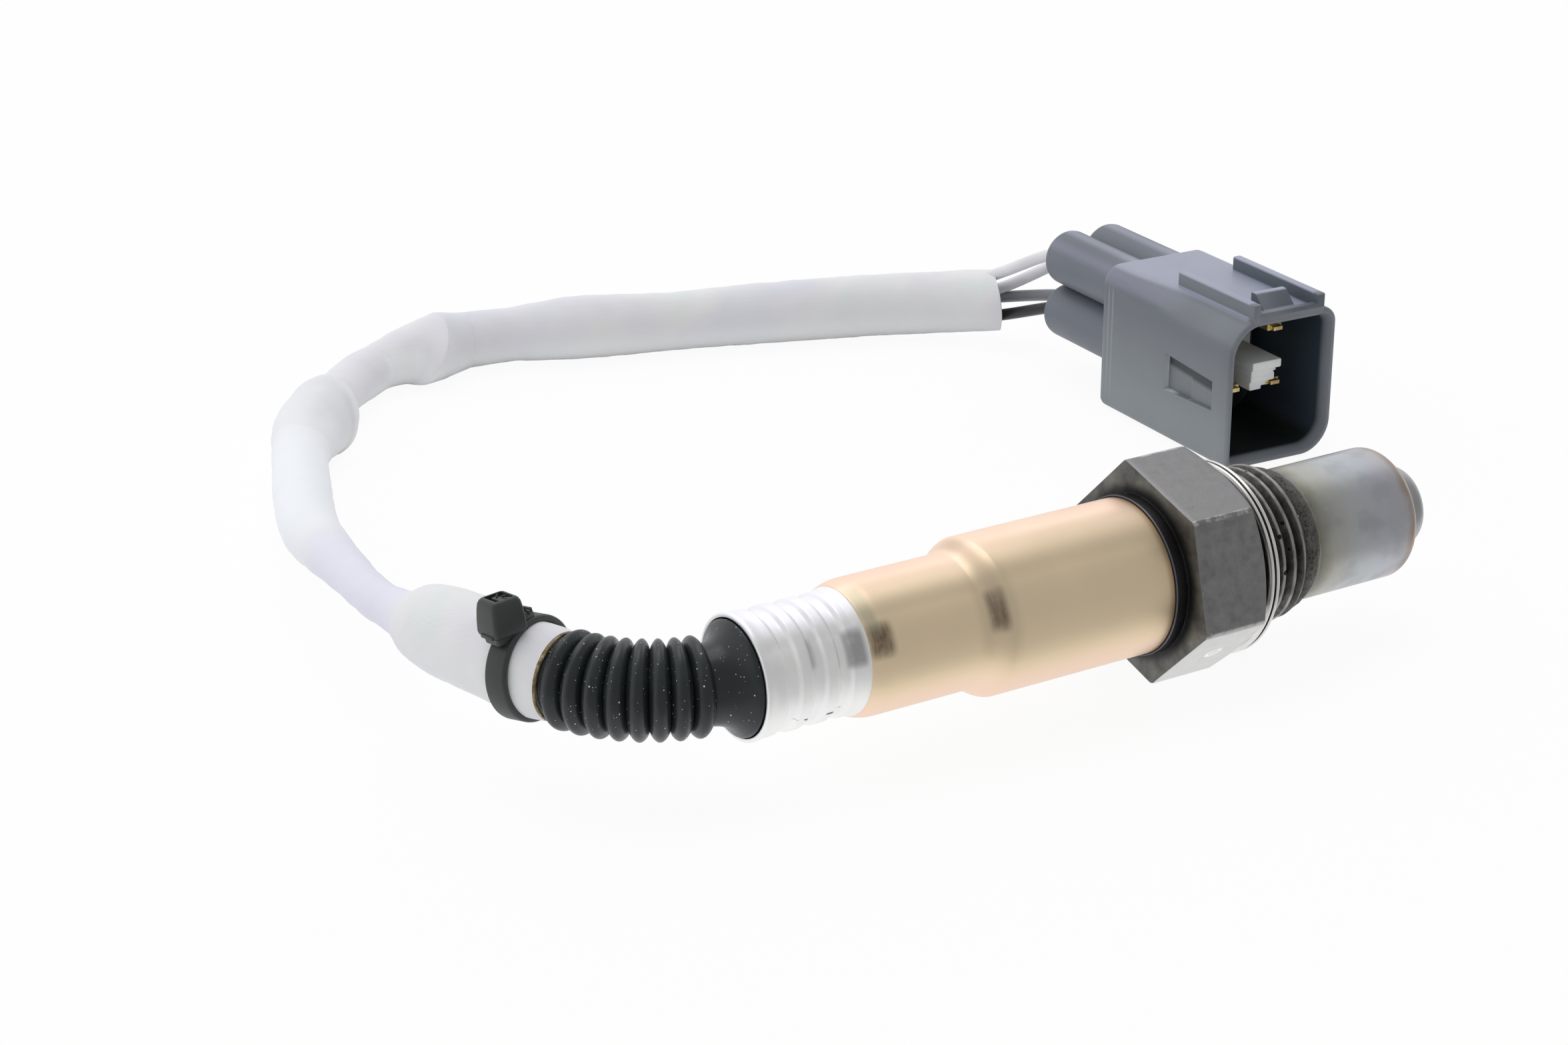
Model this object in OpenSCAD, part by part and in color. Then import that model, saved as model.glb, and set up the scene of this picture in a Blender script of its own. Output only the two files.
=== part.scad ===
// Exhaust oxygen sensor, four-wire, with its lead and plug.
// X runs along the body towards the tip, Z is up, and the floor is z = 0.
// The body lies on one corner of its hexagon, midway between rim and tip at x = 0.

/* [Body] */
// Length of the metal body, from the collar rim to the tip
body_len = 90; // [86:1:94]
// Hexagon size across its flats
hex_af = 22; // [20:0.5:24]
// Height of the hexagon along the axis
hex_len = 9; // [8:0.5:9.5]
// Outer diameter of the mounting thread
thread_d = 18; // [17:0.5:18.5]
// Turn of the hexagon from standing on a corner, in degrees
hex_turn = 14.5; // [5:0.5:25]

/* [Shield sleeve] */
// Outer diameter of the wide section
shield_d = 17.56; // [17.2:0.02:17.8]
// Outer diameter of the narrow section
shield_neck_d = 14.9; // [14.7:0.1:15.1]
// Thickness of the sheet
shield_wall = 0.5; // [0.4:0.05:0.6]

/* [Protection tubes] */
// Outer diameter of the outer tube
tube_d = 15.2; // [14.8:0.1:15.6]
// Outer diameter of the inner tube
nub_d = 9.7; // [9.3:0.1:10.1]

/* [Crimp collar] */
// Outer diameter of the plain bands between the crimps
collar_d = 13.4; // [13.2:0.1:13.6]
// Depth of each crimp
crimp_depth = 0.45; // [0.3:0.05:0.5]
// Number of crimps
crimps = 3; // [2:1:3]

/* [Boot] */
// Number of bellows ridges
ridges = 8; // [6:1:8]
// Distance between ridges along the curved axis
ridge_pitch = 1.85; // [1.7:0.05:1.9]
// Outer diameter of a ridge
ridge_d = 10.6; // [10:0.1:11]
// Diameter at the bottom of a groove
groove_d = 8.4; // [7.8:0.1:8.8]

/* [Lead] */
// Diameter of the woven sleeve
sleeve_d = 8.2; // [7.6:0.1:8.2]
// Diameter of one wire
wire_d = 1.9; // [1.6:0.1:2]

/* [Plug] */
// Width of the plug body
plug_w = 16.7; // [16.4:0.1:17.4]
// Height of the plug body
plug_h = 19.8; // [19.4:0.1:20.4]
// Length of the plug body without its wire ports
plug_len = 28.2; // [27:0.2:29]
// Length of the wire ports
port_len = 16.5; // [16:0.1:17]
// Outer diameter of a wire port
port_d = 7.7; // [7.2:0.1:7.8]
// Thickness of the plug's walls
plug_wall = 1.3; // [1.1:0.1:1.5]
// Depth of the plug's mouth
mouth_depth = 16; // [14:0.5:17]
// Turn of the plug on the floor, in degrees
plug_turn = -2.8; // [-4:0.2:0]

/* [Hidden] */

$fn = 96;
hair = 0.02;
over = 0.1;

rim_x = -body_len / 2;
tip_x = body_len / 2;
hex_r = hex_af / 2 / cos(30);
axis_z = hex_r * cos(hex_turn);

// Places along the axis
hex_x = 6.9;
seat_x = hex_x + hex_len;
corner_chamfer = 1;
lip_len = 1.7;
lip_r = 9.03;
groove_x = seat_x + 1.6;
thread_x = seat_x + 7.4;
thread_end_x = thread_x + 0.6;
spigot_end_x = thread_end_x + 3;
bead_len = 2.2;
tube_end_x = tip_x - 3.8;
collar_joint_x = rim_x + 12.5;

// Radii inside the body
shell_bore_r = 6;
tip_bore_r = 4.6;
bore_step_x = 20.5;
spigot_x = 1;
tube_r = tube_d / 2;
tube_wall = 0.5;
nub_r = nub_d / 2;
shield_r = shield_d / 2;
neck_r = shield_neck_d / 2;
collar_r = collar_d / 2;
collar_wall = 0.45;

// Sensing strip and the ceramics that hold it
strip_w = 4.2;
strip_t = 1.3;
strip_x0 = -14;
strip_x1 = 38;

// Boot, whose axis leaves the collar on an arc
boot_bend_r = 16;
boot_len = 18.6;
boot_sides = 28;
boot_bore_r = 2.9;
boot_plug_len = 1.6;
first_ridge = 4.25;
ridge_samples = 6;
wire_ring_r = 1.45;
grommet_wire_r = 2.4;

// Route of the woven sleeve's centre, from the boot's end to the plug end
sleeve_route = [
    [-59.7, 9.72, 12.3], [-63, 17.2, 12.4], [-65.7, 27, 11.8], [-65.8, 38, 10.6], [-64, 49, 9],
    [-61.8, 61, 7.2], [-59.2, 73, 5.6], [-55.6, 86, 4.4], [-49.6, 98, 4.1], [-42, 109, 4.1],
    [-33.2, 119.4, 4.1], [-24, 127.6, 4.1], [-15, 131.4, 4.1], [-5, 129.8, 4.1], [5.5, 126.6, 4.1],
    [17.8, 122.2, 4.1], [30.4, 117.8, 4.2], [40.7, 113.9, 4.5], [51.3, 108.7, 4.8], [60, 101.4, 5.8]
];
sleeve_sides = 12;
sleeve_wide_d = 9.4;
sleeve_wide_rings = 2;

// Cable tie on the first stretch of the sleeve: x towards the camera side, y up, z along the sleeve
tie_w = 2.6;
tie_t = 0.75;
tie_along = 4;
tie_tilt = 6;
tie_head_len = 4.2;
tie_head_w = 3.4;
tie_head_y = [5, 8.8];
tie_head_pos = [3.2, 0.3];
tie_head_turn = -15;

// Plug frame: x across, y from the mouth to the rear, z up
plug_pos = [63, 42.6, 0];
port_dx = 3.2;
port_dz = 3.7;
port_z = 12.2;
seal_bore_r = 2.6;
seal_depth = 9;
cell_size = 2.7;
pin_tip_y = 5.4;
pin_size = [2.2, 0.8];
pin_box = 2.5;
pin_box_y0 = 17.2;
pin_box_y1 = 28;
pin_end_y = 34;
wire_hole_r = wire_d / 2 + 0.02;

// Helpers

// A solid turned about the body axis; the profile's points are [radius, x]
module turned(profile) {
    translate([0, 0, axis_z])
        rotate([0, 90, 0])
            rotate_extrude()
                polygon(profile);
}

// A plain ring about the body axis
module ring_x(x0, x1, r_out, r_in = 0) {
    turned([[r_in, x0], [r_out, x0], [r_out, x1], [r_in, x1]]);
}

// Places a child at x on the body axis, a radius out along +Y, turned by an angle about the axis
module about_axis(x, r, angle) {
    translate([x, 0, axis_z])
        rotate([angle, 0, 0])
            translate([0, r, 0])
                children();
}

// An outline with equal round corners, centred on its middle
module round_rect(w, h, r) {
    square([w - 2 * r, h], center = true);
    square([w, h - 2 * r], center = true);
    for (sx = [-1, 1], sy = [-1, 1])
        translate([sx * (w / 2 - r), sy * (h / 2 - r)])
            circle(r, $fn = 48);
}

// The plug's outline, standing on y = 0, inset by a wall: each corner has its own radius
module plug_outline(inset) {
    w = plug_w / 2 - inset;
    corners = [[-1, 0, 1.3], [1, 0, 4.4], [1, 1, 2.2], [-1, 1, 4.9]];
    difference() {
        translate([-w, inset]) square([2 * w, plug_h - 2 * inset]);
        for (c = corners) {
            r = max(c[2] - inset, 0.5);
            y = c[1] == 0 ? inset : plug_h - inset;
            up = c[1] == 0 ? 1 : -1;
            difference() {
                translate([c[0] * (w - r / 2 + 0.5), y + up * (r / 2 - 0.5)]) square(r + 1, center = true);
                translate([c[0] * (w - r), y + up * r]) circle(r, $fn = 64);
            }
        }
    }
}

function unit(v) = v / norm(v);
function lerp(a, b, t) = a + (b - a) * t;

// Direction of a route at point i, from its neighbours
function route_dir(p, i) = unit(p[min(i + 1, len(p) - 1)] - p[max(i - 1, 0)]);

// Ring of points about c, square to direction d, with radius r
function ring_at(c, d, r, sides) =
    let (side = unit(cross([0, 0, 1], d)), up = cross(d, side))
    [for (k = [0 : sides - 1]) c + r * (cos(k * 360 / sides) * side + sin(k * 360 / sides) * up)];

// Side faces between rings of points laid end to end
function ring_faces(rings, sides) = [
    for (i = [0 : rings - 2], k = [0 : sides - 1])
        let (a = i * sides + k, b = i * sides + (k + 1) % sides)
        each [[a, a + sides, b + sides], [a, b + sides, b]]
];

// A solid swept through rings of points
module swept(rings) {
    sides = len(rings[0]);
    n = len(rings);
    polyhedron(
        points = [for (r = rings) each r],
        faces = concat(
            ring_faces(n, sides),
            [[for (k = [0 : sides - 1]) k]],
            [[for (k = [sides - 1 : -1 : 0]) (n - 1) * sides + k]]
        )
    );
}

// A pipe swept through outer rings and inner rings with as many sides
module swept_pipe(outer, inner) {
    sides = len(outer[0]);
    n = len(outer);
    m = len(inner);
    base = n * sides;
    last_out = (n - 1) * sides;
    last_in = base + (m - 1) * sides;
    polyhedron(
        points = concat([for (r = outer) each r], [for (r = inner) each r]),
        faces = concat(
            ring_faces(n, sides),
            [for (f = ring_faces(m, sides)) [f[2] + base, f[1] + base, f[0] + base]],
            [for (k = [0 : sides - 1]) let (j = (k + 1) % sides)
                each [[j, base + k, k], [j, base + j, base + k]]],
            [for (k = [0 : sides - 1]) let (j = (k + 1) % sides)
                each [[last_out + k, last_in + k, last_out + j], [last_in + k, last_in + j, last_out + j]]]
        )
    );
}

// Body

// Steel shell: hexagon, thread, collar for the sleeve, and spigot for the tubes
module hex_shell() {
    color([0.24, 0.24, 0.25])
    difference() {
        union() {
            intersection() {
                translate([hex_x, 0, axis_z])
                    rotate([-hex_turn, 0, 0])
                        rotate([0, 90, 0])
                            cylinder(r = hex_r, h = hex_len, $fn = 6);
                turned([
                    [0, hex_x], [hex_r + 1, hex_x], [hex_r + 1, seat_x - corner_chamfer],
                    [hex_r + 0.1, seat_x - corner_chamfer], [hex_af / 2 - 0.15, seat_x], [0, seat_x]
                ]);
            }
            turned([
                [0, spigot_x], [shield_r - shield_wall - hair, spigot_x],
                [shield_r - shield_wall - hair, hex_x - lip_len], [lip_r - 0.15, hex_x - lip_len],
                [lip_r, hex_x - lip_len + 0.3], [lip_r, hex_x + over], [0, hex_x + over]
            ]);
            turned([
                [0, seat_x - over], [thread_d / 2 - 1, seat_x - over], [thread_d / 2 - 1, groove_x],
                [thread_d / 2, groove_x], [thread_d / 2, thread_x],
                [thread_d / 2 - 0.6, thread_end_x], [tube_r - tube_wall - hair, thread_end_x],
                [tube_r - tube_wall - hair, spigot_end_x], [0, spigot_end_x]
            ]);
        }
        turned([
            [0, spigot_x - over], [shell_bore_r, spigot_x - over], [shell_bore_r, bore_step_x],
            [tip_bore_r, bore_step_x + 1], [tip_bore_r, spigot_end_x + over], [0, spigot_end_x + over]
        ]);
        turned([
            [shield_r - shield_wall - hair, hex_x - lip_len - over], [shield_r + hair, hex_x - lip_len - over],
            [shield_r + hair, hex_x], [shield_r - shield_wall - hair, hex_x]
        ]);
        about_axis(hex_x + 4.9, hex_af / 2, -hex_turn - 120)
            sphere(r = 0.7, $fn = 32);
    }
}

// Folded sheet ring that seals on the seat; it hangs loose on the thread's run-out
module gasket_ring() {
    gasket_r = 11.05;
    gasket_in = 9.35;
    gasket_t = 1.5;
    fold = 0.45;
    color([0.75, 0.74, 0.72])
    translate([0, 0, -0.34])
        turned([
            [gasket_in, seat_x], [gasket_r - fold, seat_x], [gasket_r, seat_x + fold],
            [gasket_r - fold, seat_x + gasket_t / 2 - 0.1], [gasket_r - 0.3, seat_x + gasket_t / 2 + 0.1],
            [gasket_r, seat_x + gasket_t - fold], [gasket_r - fold, seat_x + gasket_t],
            [gasket_in, seat_x + gasket_t], [gasket_in, seat_x + gasket_t / 2 + 0.2],
            [gasket_in + 0.8, seat_x + gasket_t / 2], [gasket_in, seat_x + gasket_t / 2 - 0.2]
        ]);
}

// Profile of a drawn cup's shoulder, as points on a quarter circle
function shoulder(r, x, bend, steps = 8) = [
    for (k = [0 : steps]) [r - bend + bend * cos(k * 90 / steps), x - bend + bend * sin(k * 90 / steps)]
];

// Outer tube with its weld bead and the hole that the inner tube stands in
module outer_protection_tube() {
    bend = 2.2;
    color([0.55, 0.56, 0.58])
    turned(concat(
        [[tube_r - tube_wall, thread_end_x + 0.05], [thread_d / 2 - 0.75, thread_end_x + 0.05],
         [thread_d / 2 - 0.7, thread_end_x + 0.6], [thread_d / 2 - 0.95, thread_end_x + bead_len - 0.7],
         [tube_r + 0.15, thread_end_x + bead_len - 0.2], [tube_r, thread_end_x + bead_len + 0.3]],
        shoulder(tube_r, tube_end_x, bend),
        [[nub_r + 0.1, tube_end_x], [nub_r + 0.1, tube_end_x - tube_wall]],
        [for (k = [8 : -1 : 0]) shoulder(tube_r - tube_wall, tube_end_x - tube_wall, bend - tube_wall)[k]]
    ));
}

// Inner tube: flanged cup whose end stands proud, with gas holes
module inner_protection_tube() {
    wall = 0.4;
    flange_x = spigot_end_x + hair;
    bend = 1.6;
    color([0.52, 0.53, 0.55])
    difference() {
        turned(concat(
            [[nub_r - wall, flange_x], [tube_r - tube_wall - hair, flange_x],
             [tube_r - tube_wall - hair, flange_x + wall], [nub_r, flange_x + wall]],
            shoulder(nub_r, tip_x, bend),
            [[1.2, tip_x], [1.2, tip_x - wall]],
            [for (k = [8 : -1 : 0]) shoulder(nub_r - wall, tip_x - wall, bend - wall)[k]]
        ));
        for (a = [0 : 60 : 300])
            translate([flange_x + 3, 0, axis_z])
                rotate([a, 0, 0])
                    cylinder(r = 0.8, h = nub_r + 1, $fn = 32);
    }
}

// Flat ceramic strip that senses and heats
module sensing_element() {
    color([0.9, 0.88, 0.84])
    translate([strip_x0, -strip_w / 2, axis_z - strip_t / 2])
        cube([strip_x1 - strip_x0, strip_w, strip_t]);
}

// A ceramic bush or powder ring with the strip's slot through it
module slotted_bush(x0, x1, r, slot_w, slot_t, tone) {
    color(tone)
    difference() {
        ring_x(x0, x1, r);
        translate([x0 - over, -slot_w / 2, axis_z - slot_t / 2])
            cube([x1 - x0 + 2 * over, slot_w, slot_t]);
    }
}

module lower_ceramic_bush() {
    slotted_bush(14.5, bore_step_x, shell_bore_r - 0.05, strip_w + 0.2, strip_t + 0.2, [0.93, 0.93, 0.9]);
}

module powder_seal() {
    slotted_bush(10.5, 14.5, shell_bore_r, strip_w, strip_t, [0.8, 0.8, 0.76]);
}

module upper_ceramic_bush() {
    slotted_bush(2.5, 10.5, shell_bore_r - 0.05, strip_w + 0.2, strip_t + 0.2, [0.93, 0.93, 0.9]);
}

// Dished washer that presses the packing together
module clamp_spring() {
    color([0.6, 0.6, 0.62])
    turned([[3, 1.3], [3, 1.7], [shell_bore_r - 0.1, 2.5], [shell_bore_r - 0.1, 2.1]]);
}

// Ceramic that holds the contact springs on both faces of the strip
module contact_holder() {
    holder_x0 = -24;
    holder_x1 = -8;
    color([0.95, 0.95, 0.92])
    difference() {
        union() {
            ring_x(holder_x0, holder_x1, 5.6);
            ring_x(holder_x0 + 5, holder_x0 + 8, 6.4);
        }
        translate([holder_x0 - over, -2.5, axis_z - 1.9])
            cube([holder_x1 - holder_x0 + 2 * over, 5, 3.8]);
    }
}

// Four bowed strips that touch the pads of the strip
module contact_springs() {
    spring_t = 0.3;
    color([0.8, 0.68, 0.35])
    for (sy = [-1, 1], sz = [-1, 1])
        translate([0, sy * 1.25, axis_z])
            mirror([0, 0, sz < 0 ? 1 : 0])
                rotate([90, 0, 0])
                    linear_extrude(height = 1.5, center = true)
                        polygon([
                            [-28, 1.55], [-20, 1.55], [-15, strip_t / 2 + 0.42], [-12.6, strip_t / 2 + hair],
                            [-11.4, strip_t / 2 + hair], [-9.5, 1.3], [-9.5, 1.3 + spring_t],
                            [-11.4, strip_t / 2 + spring_t], [-12.6, strip_t / 2 + spring_t],
                            [-15, 0.42 + strip_t / 2 + spring_t], [-20, 1.55 + spring_t], [-28, 1.55 + spring_t]
                        ]);
}

// Four barrels that join the springs to the wires
module wire_crimps() {
    barrel_r = 1.25;
    color([0.8, 0.68, 0.35])
    for (sy = [-1, 1], sz = [-1, 1])
        translate([-31.5, sy * grommet_wire_r / sqrt(2), axis_z + sz * grommet_wire_r / sqrt(2)])
            rotate([0, 90, 0])
                difference() {
                    cylinder(r = barrel_r, h = 3.5);
                    translate([0, 0, -over])
                        cylinder(r = wire_d / 2 + hair, h = 2.5 + over);
                }
}

// Two-step drawn sleeve over the ceramics
module shield_sleeve() {
    step_x0 = hex_x - 25.4;
    step_x1 = hex_x - 22.4;
    end_bend = 2.3;
    end_fall = 0.45;
    outer = concat(
        [for (t = [1 : -1 / 8 : 0]) [neck_r - end_fall * t * t, collar_joint_x + end_bend * (1 - t)]],
        [for (k = [0 : 12]) let (t = k / 12, s = t * t * (3 - 2 * t))
            [lerp(neck_r, shield_r, s), lerp(step_x0, step_x1, t)]],
        [[shield_r, hex_x - hair]]
    );
    inner = concat(
        [[shield_r - shield_wall, hex_x - hair]],
        [for (k = [12 : -1 : 0]) let (t = k / 12, s = t * t * (3 - 2 * t))
            [lerp(neck_r, shield_r, s) - shield_wall, lerp(step_x0, step_x1, t) + 0.12]],
        [[neck_r - shield_wall, collar_joint_x]]
    );
    color([0.72, 0.62, 0.42])
    turned(concat(outer, inner));
}

// Height of the collar's wall at a place along it, with a smooth hollow at each crimp
function crimp_fall(x) = crimp_depth * max([
    for (k = [0 : crimps - 1])
        let (c = rim_x + 3.4 + k * 3.1, t = abs(x - c) / 1.15)
        t < 0.45 ? 1 : t < 1 ? (1 + cos((t - 0.45) / 0.55 * 180)) / 2 : 0
]);

// Drawn collar pressed on the seal, with a rolled rim and crimps
module crimp_collar() {
    x0 = rim_x + 1.5;
    x1 = rim_x + 11.5;
    n = 50;
    inside_x = collar_joint_x + 4;
    color([0.85, 0.85, 0.84])
    turned(concat(
        [[collar_r - 0.25, rim_x], [collar_r + 0.08, rim_x + 0.1], [collar_r + 0.15, rim_x + 0.4],
         [collar_r + 0.1, rim_x + 0.9]],
        [for (k = [0 : n]) let (x = lerp(x0, x1, k / n)) [collar_r - crimp_fall(x), x]],
        [[neck_r - shield_wall - hair, collar_joint_x], [neck_r - shield_wall - hair, inside_x],
         [neck_r - shield_wall - collar_wall, inside_x], [neck_r - shield_wall - collar_wall, collar_joint_x]],
        [for (k = [n : -1 : 0]) let (x = lerp(x0, x1, k / n)) [collar_r - collar_wall - crimp_fall(x), x]],
        [[collar_r - 0.35, rim_x + 0.9]]
    ));
}

// Plug of rubber in the collar with a hole for each wire
module seal_grommet() {
    x0 = rim_x + boot_plug_len + hair;
    x1 = rim_x + 11.5;
    color([0.3, 0.3, 0.3])
    difference() {
        ring_x(x0, x1, collar_r - collar_wall - crimp_depth - hair);
        for (sy = [-1, 1], sz = [-1, 1])
            translate([x0 - over, sy * grommet_wire_r / sqrt(2), axis_z + sz * grommet_wire_r / sqrt(2)])
                rotate([0, 90, 0])
                    cylinder(r = wire_d / 2 + hair, h = x1 - x0 + 2 * over, $fn = 32);
    }
}

// Boot

// Point and direction of the boot's axis at distance s from the collar rim
function boot_point(s) = s < 0
    ? [rim_x - s, 0, axis_z]
    : let (a = s / boot_bend_r * 180 / PI)
      [rim_x - boot_bend_r * sin(a), boot_bend_r * (1 - cos(a)), axis_z];
function boot_dir(s) = s < 0 ? [-1, 0, 0]
    : let (a = s / boot_bend_r * 180 / PI) [-cos(a), sin(a), 0];

// Radius of the boot along its axis: plug, flange, neck, then the ridges
function boot_profile() = let (
        groove = groove_d / 2,
        crest = ridge_d / 2,
        start = first_ridge - ridge_pitch / 2
    ) concat(
        [[-boot_plug_len, 5.3], [-0.5, 5.3], [-0.05, 6.2], [0.25, 6.25], [0.9, 5.3], [1.5, 4.7],
         [2.3, groove + 0.1], [start - 0.2, groove]],
        [for (i = [0 : ridges - 1], k = [0 : ridge_samples - 1])
            let (a = k * 360 / ridge_samples, s = start + (i + k / ridge_samples) * ridge_pitch)
            [s, groove + (crest - groove) * pow((1 - cos(a)) / 2, 0.6)]],
        [[start + ridges * ridge_pitch, groove], [boot_len, groove + 0.15]]
    );

// Rubber bellows on a curved axis, hollow for the wires
module rubber_boot() {
    outer = [for (p = boot_profile()) ring_at(boot_point(p[0]), boot_dir(p[0]), p[1], boot_sides)];
    inner_s = [-boot_plug_len, 0, 3, 6, 9, 12, 15, boot_len];
    inner = [for (s = inner_s)
        ring_at(boot_point(s), boot_dir(s), s < 1 ? boot_bore_r + 0.6 : boot_bore_r, boot_sides)];
    color([0.09, 0.11, 0.11])
        swept_pipe(outer, inner);
}

// Lead

// Woven sleeve with the wires inside it, as one plain tube
module woven_sleeve() {
    n = len(sleeve_route);
    rings = [
        for (i = [0 : n - 1])
            ring_at(
                sleeve_route[i],
                i == 0 ? unit(sleeve_route[1] - sleeve_route[0]) : route_dir(sleeve_route, i),
                (i < sleeve_wide_rings ? sleeve_wide_d : sleeve_d) / 2,
                sleeve_sides
            )
    ];
    color([0.88, 0.88, 0.92])
        swept(rings);
}

// Frame of the tie: x towards the camera side, y up, z along the sleeve
module tie_frame() {
    d = unit(sleeve_route[1] - sleeve_route[0]);
    near = unit(cross(d, [0, 0, 1])) * -1;
    up = [0, 0, 1];
    c = sleeve_route[0] + d * tie_along;
    multmatrix([
        [near[0], up[0], d[0], c[0]],
        [near[1], up[1], d[1], c[1]],
        [near[2], up[2], d[2], c[2]]
    ])
        rotate([tie_tilt, 0, 0])
            children();
}

// Strap round the sleeve, its head with the slot for the strap's end, and the cut tail
module cable_tie() {
    r_in = sleeve_wide_d / 2 + 0.25;
    half = tie_head_len / 2;
    y0 = tie_head_y[0];
    y1 = tie_head_y[1];
    color([0.1, 0.13, 0.12])
    tie_frame()
    difference() {
        union() {
            cylinder(r = r_in + tie_t, h = tie_w, center = true);
            translate([tie_head_pos[0], 0, tie_head_pos[1]])
                rotate([0, tie_head_turn, 0])
                    translate([0, 0, -tie_head_w / 2])
                        linear_extrude(height = tie_head_w)
                            polygon([
                                [-half, y0 + 0.4], [-half + 0.5, y0 - 0.3], [-half + 1.2, y0 - 0.8],
                                [half - 1, y0 - 1], [half - 0.7, y0], [half - 0.2, y0], [half, y0 + 0.4],
                                [half - 0.25, y1 - 0.5], [half - 0.7, y1], [-half + 0.9, y1],
                                [-half + 0.5, y1 - 0.4]
                            ]);
            translate([tie_head_pos[0] - half - 2.2, r_in + 0.5, -tie_w / 2 + 0.4])
                cube([2.6, 0.9, tie_w - 0.8]);
        }
        cylinder(r = r_in, h = tie_head_w + 3, center = true);
        translate([tie_head_pos[0] - 1.2, y1 - 1.2, tie_head_pos[1] - 0.9])
            cube([1.3, 1.4, 1.9]);
        translate([tie_head_pos[0] + 0.5, y1 - 0.9, tie_head_pos[1] - 0.9])
            cube([0.6, 1.1, 1.9]);
    }
}

// Point in the plug's own frame turned into the part's frame
function plug_point(p) = [
    plug_pos[0] + p[0] * cos(plug_turn) - p[1] * sin(plug_turn),
    plug_pos[1] + p[0] * sin(plug_turn) + p[1] * cos(plug_turn),
    plug_pos[2] + p[2]
];

// Middle of a wire port: sx and sz are -1 or 1
function port_xz(sx, sz) = [sx * port_dx, port_z + sz * port_dz];

// Wire from its crimp through the grommet and the boot, up to the sleeve
module wire_inside(sy, sz) {
    lead_x = rim_x + boot_plug_len;
    crimp_x = -31.5 + 2.3;
    turn = atan2(sz, sy);
    stations = [-1.4, 0, 2, 5, 8, 11, 14, 17, boot_len - 0.05];
    r_at = [for (s = stations) s < 0 ? grommet_wire_r : s < 2.1 ? lerp(grommet_wire_r, wire_ring_r, (s + 0.5) / 2.6)
        : wire_ring_r];
    rings = [for (i = [0 : len(stations) - 1])
        let (s = stations[i], d = boot_dir(s), side = [d[1], -d[0], 0], c = boot_point(s),
             off = r_at[i] * (cos(turn) * side + [0, 0, sin(turn)]))
        ring_at(c + off, d, wire_d / 2, 8)];
    start = [
        for (x = [crimp_x, lead_x + 0.2])
            ring_at([x, sy * grommet_wire_r / sqrt(2), axis_z + sz * grommet_wire_r / sqrt(2)], [-1, 0, 0], wire_d / 2, 8)
    ];
    swept(concat(start, rings));
}

// Wire from the sleeve's end to its crimp in the plug: a and b are its places on the two faces
module wire_outside(sx, sz, leave, wave) {
    port = port_xz(sx, sz);
    out_dir = unit(sleeve_route[len(sleeve_route) - 1] - sleeve_route[len(sleeve_route) - 2]);
    side = unit(cross([0, 0, 1], out_dir));
    up = cross(out_dir, side);
    a = sleeve_route[len(sleeve_route) - 1] + out_dir * 0.15 + side * leave[0] + up * leave[1];
    port_y = plug_len + port_len;
    b = plug_point([port[0], port_y, port[1]]);
    b_in = plug_point([port[0], pin_end_y - 2.4, port[1]]);
    in_dir = unit(b_in - b);
    reach = norm(b - a);
    path = concat(
        [for (t = [0 : 0.2 : 1])
            let (h = 3 * t * t - 2 * t * t * t)
            a * (1 - h) + b * h + out_dir * reach * 0.9 * t * (1 - t) * (1 - t)
              - in_dir * reach * 0.6 * t * t * (1 - t) + [0, 0, wave * sin(t * 180)]],
        [b_in]
    );
    swept([for (i = [0 : len(path) - 1])
        ring_at(path[i], i == 0 ? out_dir : i >= len(path) - 2 ? in_dir : route_dir(path, i), wire_d / 2, 8)]);
}

module wire_white_upper() {
    color([0.92, 0.92, 0.95]) {
        wire_inside(-1, 1);
        wire_outside(-1, 1, [0.2, 2.9], 0.3);
    }
}

module wire_white_lower() {
    color([0.92, 0.92, 0.95]) {
        wire_inside(1, 1);
        wire_outside(1, 1, [2, 1.8], 0.2);
    }
}

module wire_grey() {
    color([0.5, 0.5, 0.53]) {
        wire_inside(1, -1);
        wire_outside(1, -1, [1.8, -0.8], 0);
    }
}

module wire_black() {
    color([0.07, 0.07, 0.09]) {
        wire_inside(-1, -1);
        wire_outside(-1, -1, [-0.4, -1.9], -0.2);
    }
}

// Plug

module plug_frame() {
    translate(plug_pos)
        rotate([0, 0, plug_turn])
            children();
}

// Extrudes an outline drawn in x and z along the plug, from y0 to y1
module along_plug(y0, y1) {
    translate([0, y1, 0])
        rotate([90, 0, 0])
            linear_extrude(height = y1 - y0)
                children();
}

module each_port() {
    for (sx = [-1, 1], sz = [-1, 1])
        translate([port_xz(sx, sz)[0], 0, port_xz(sx, sz)[1]])
            children();
}

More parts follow.
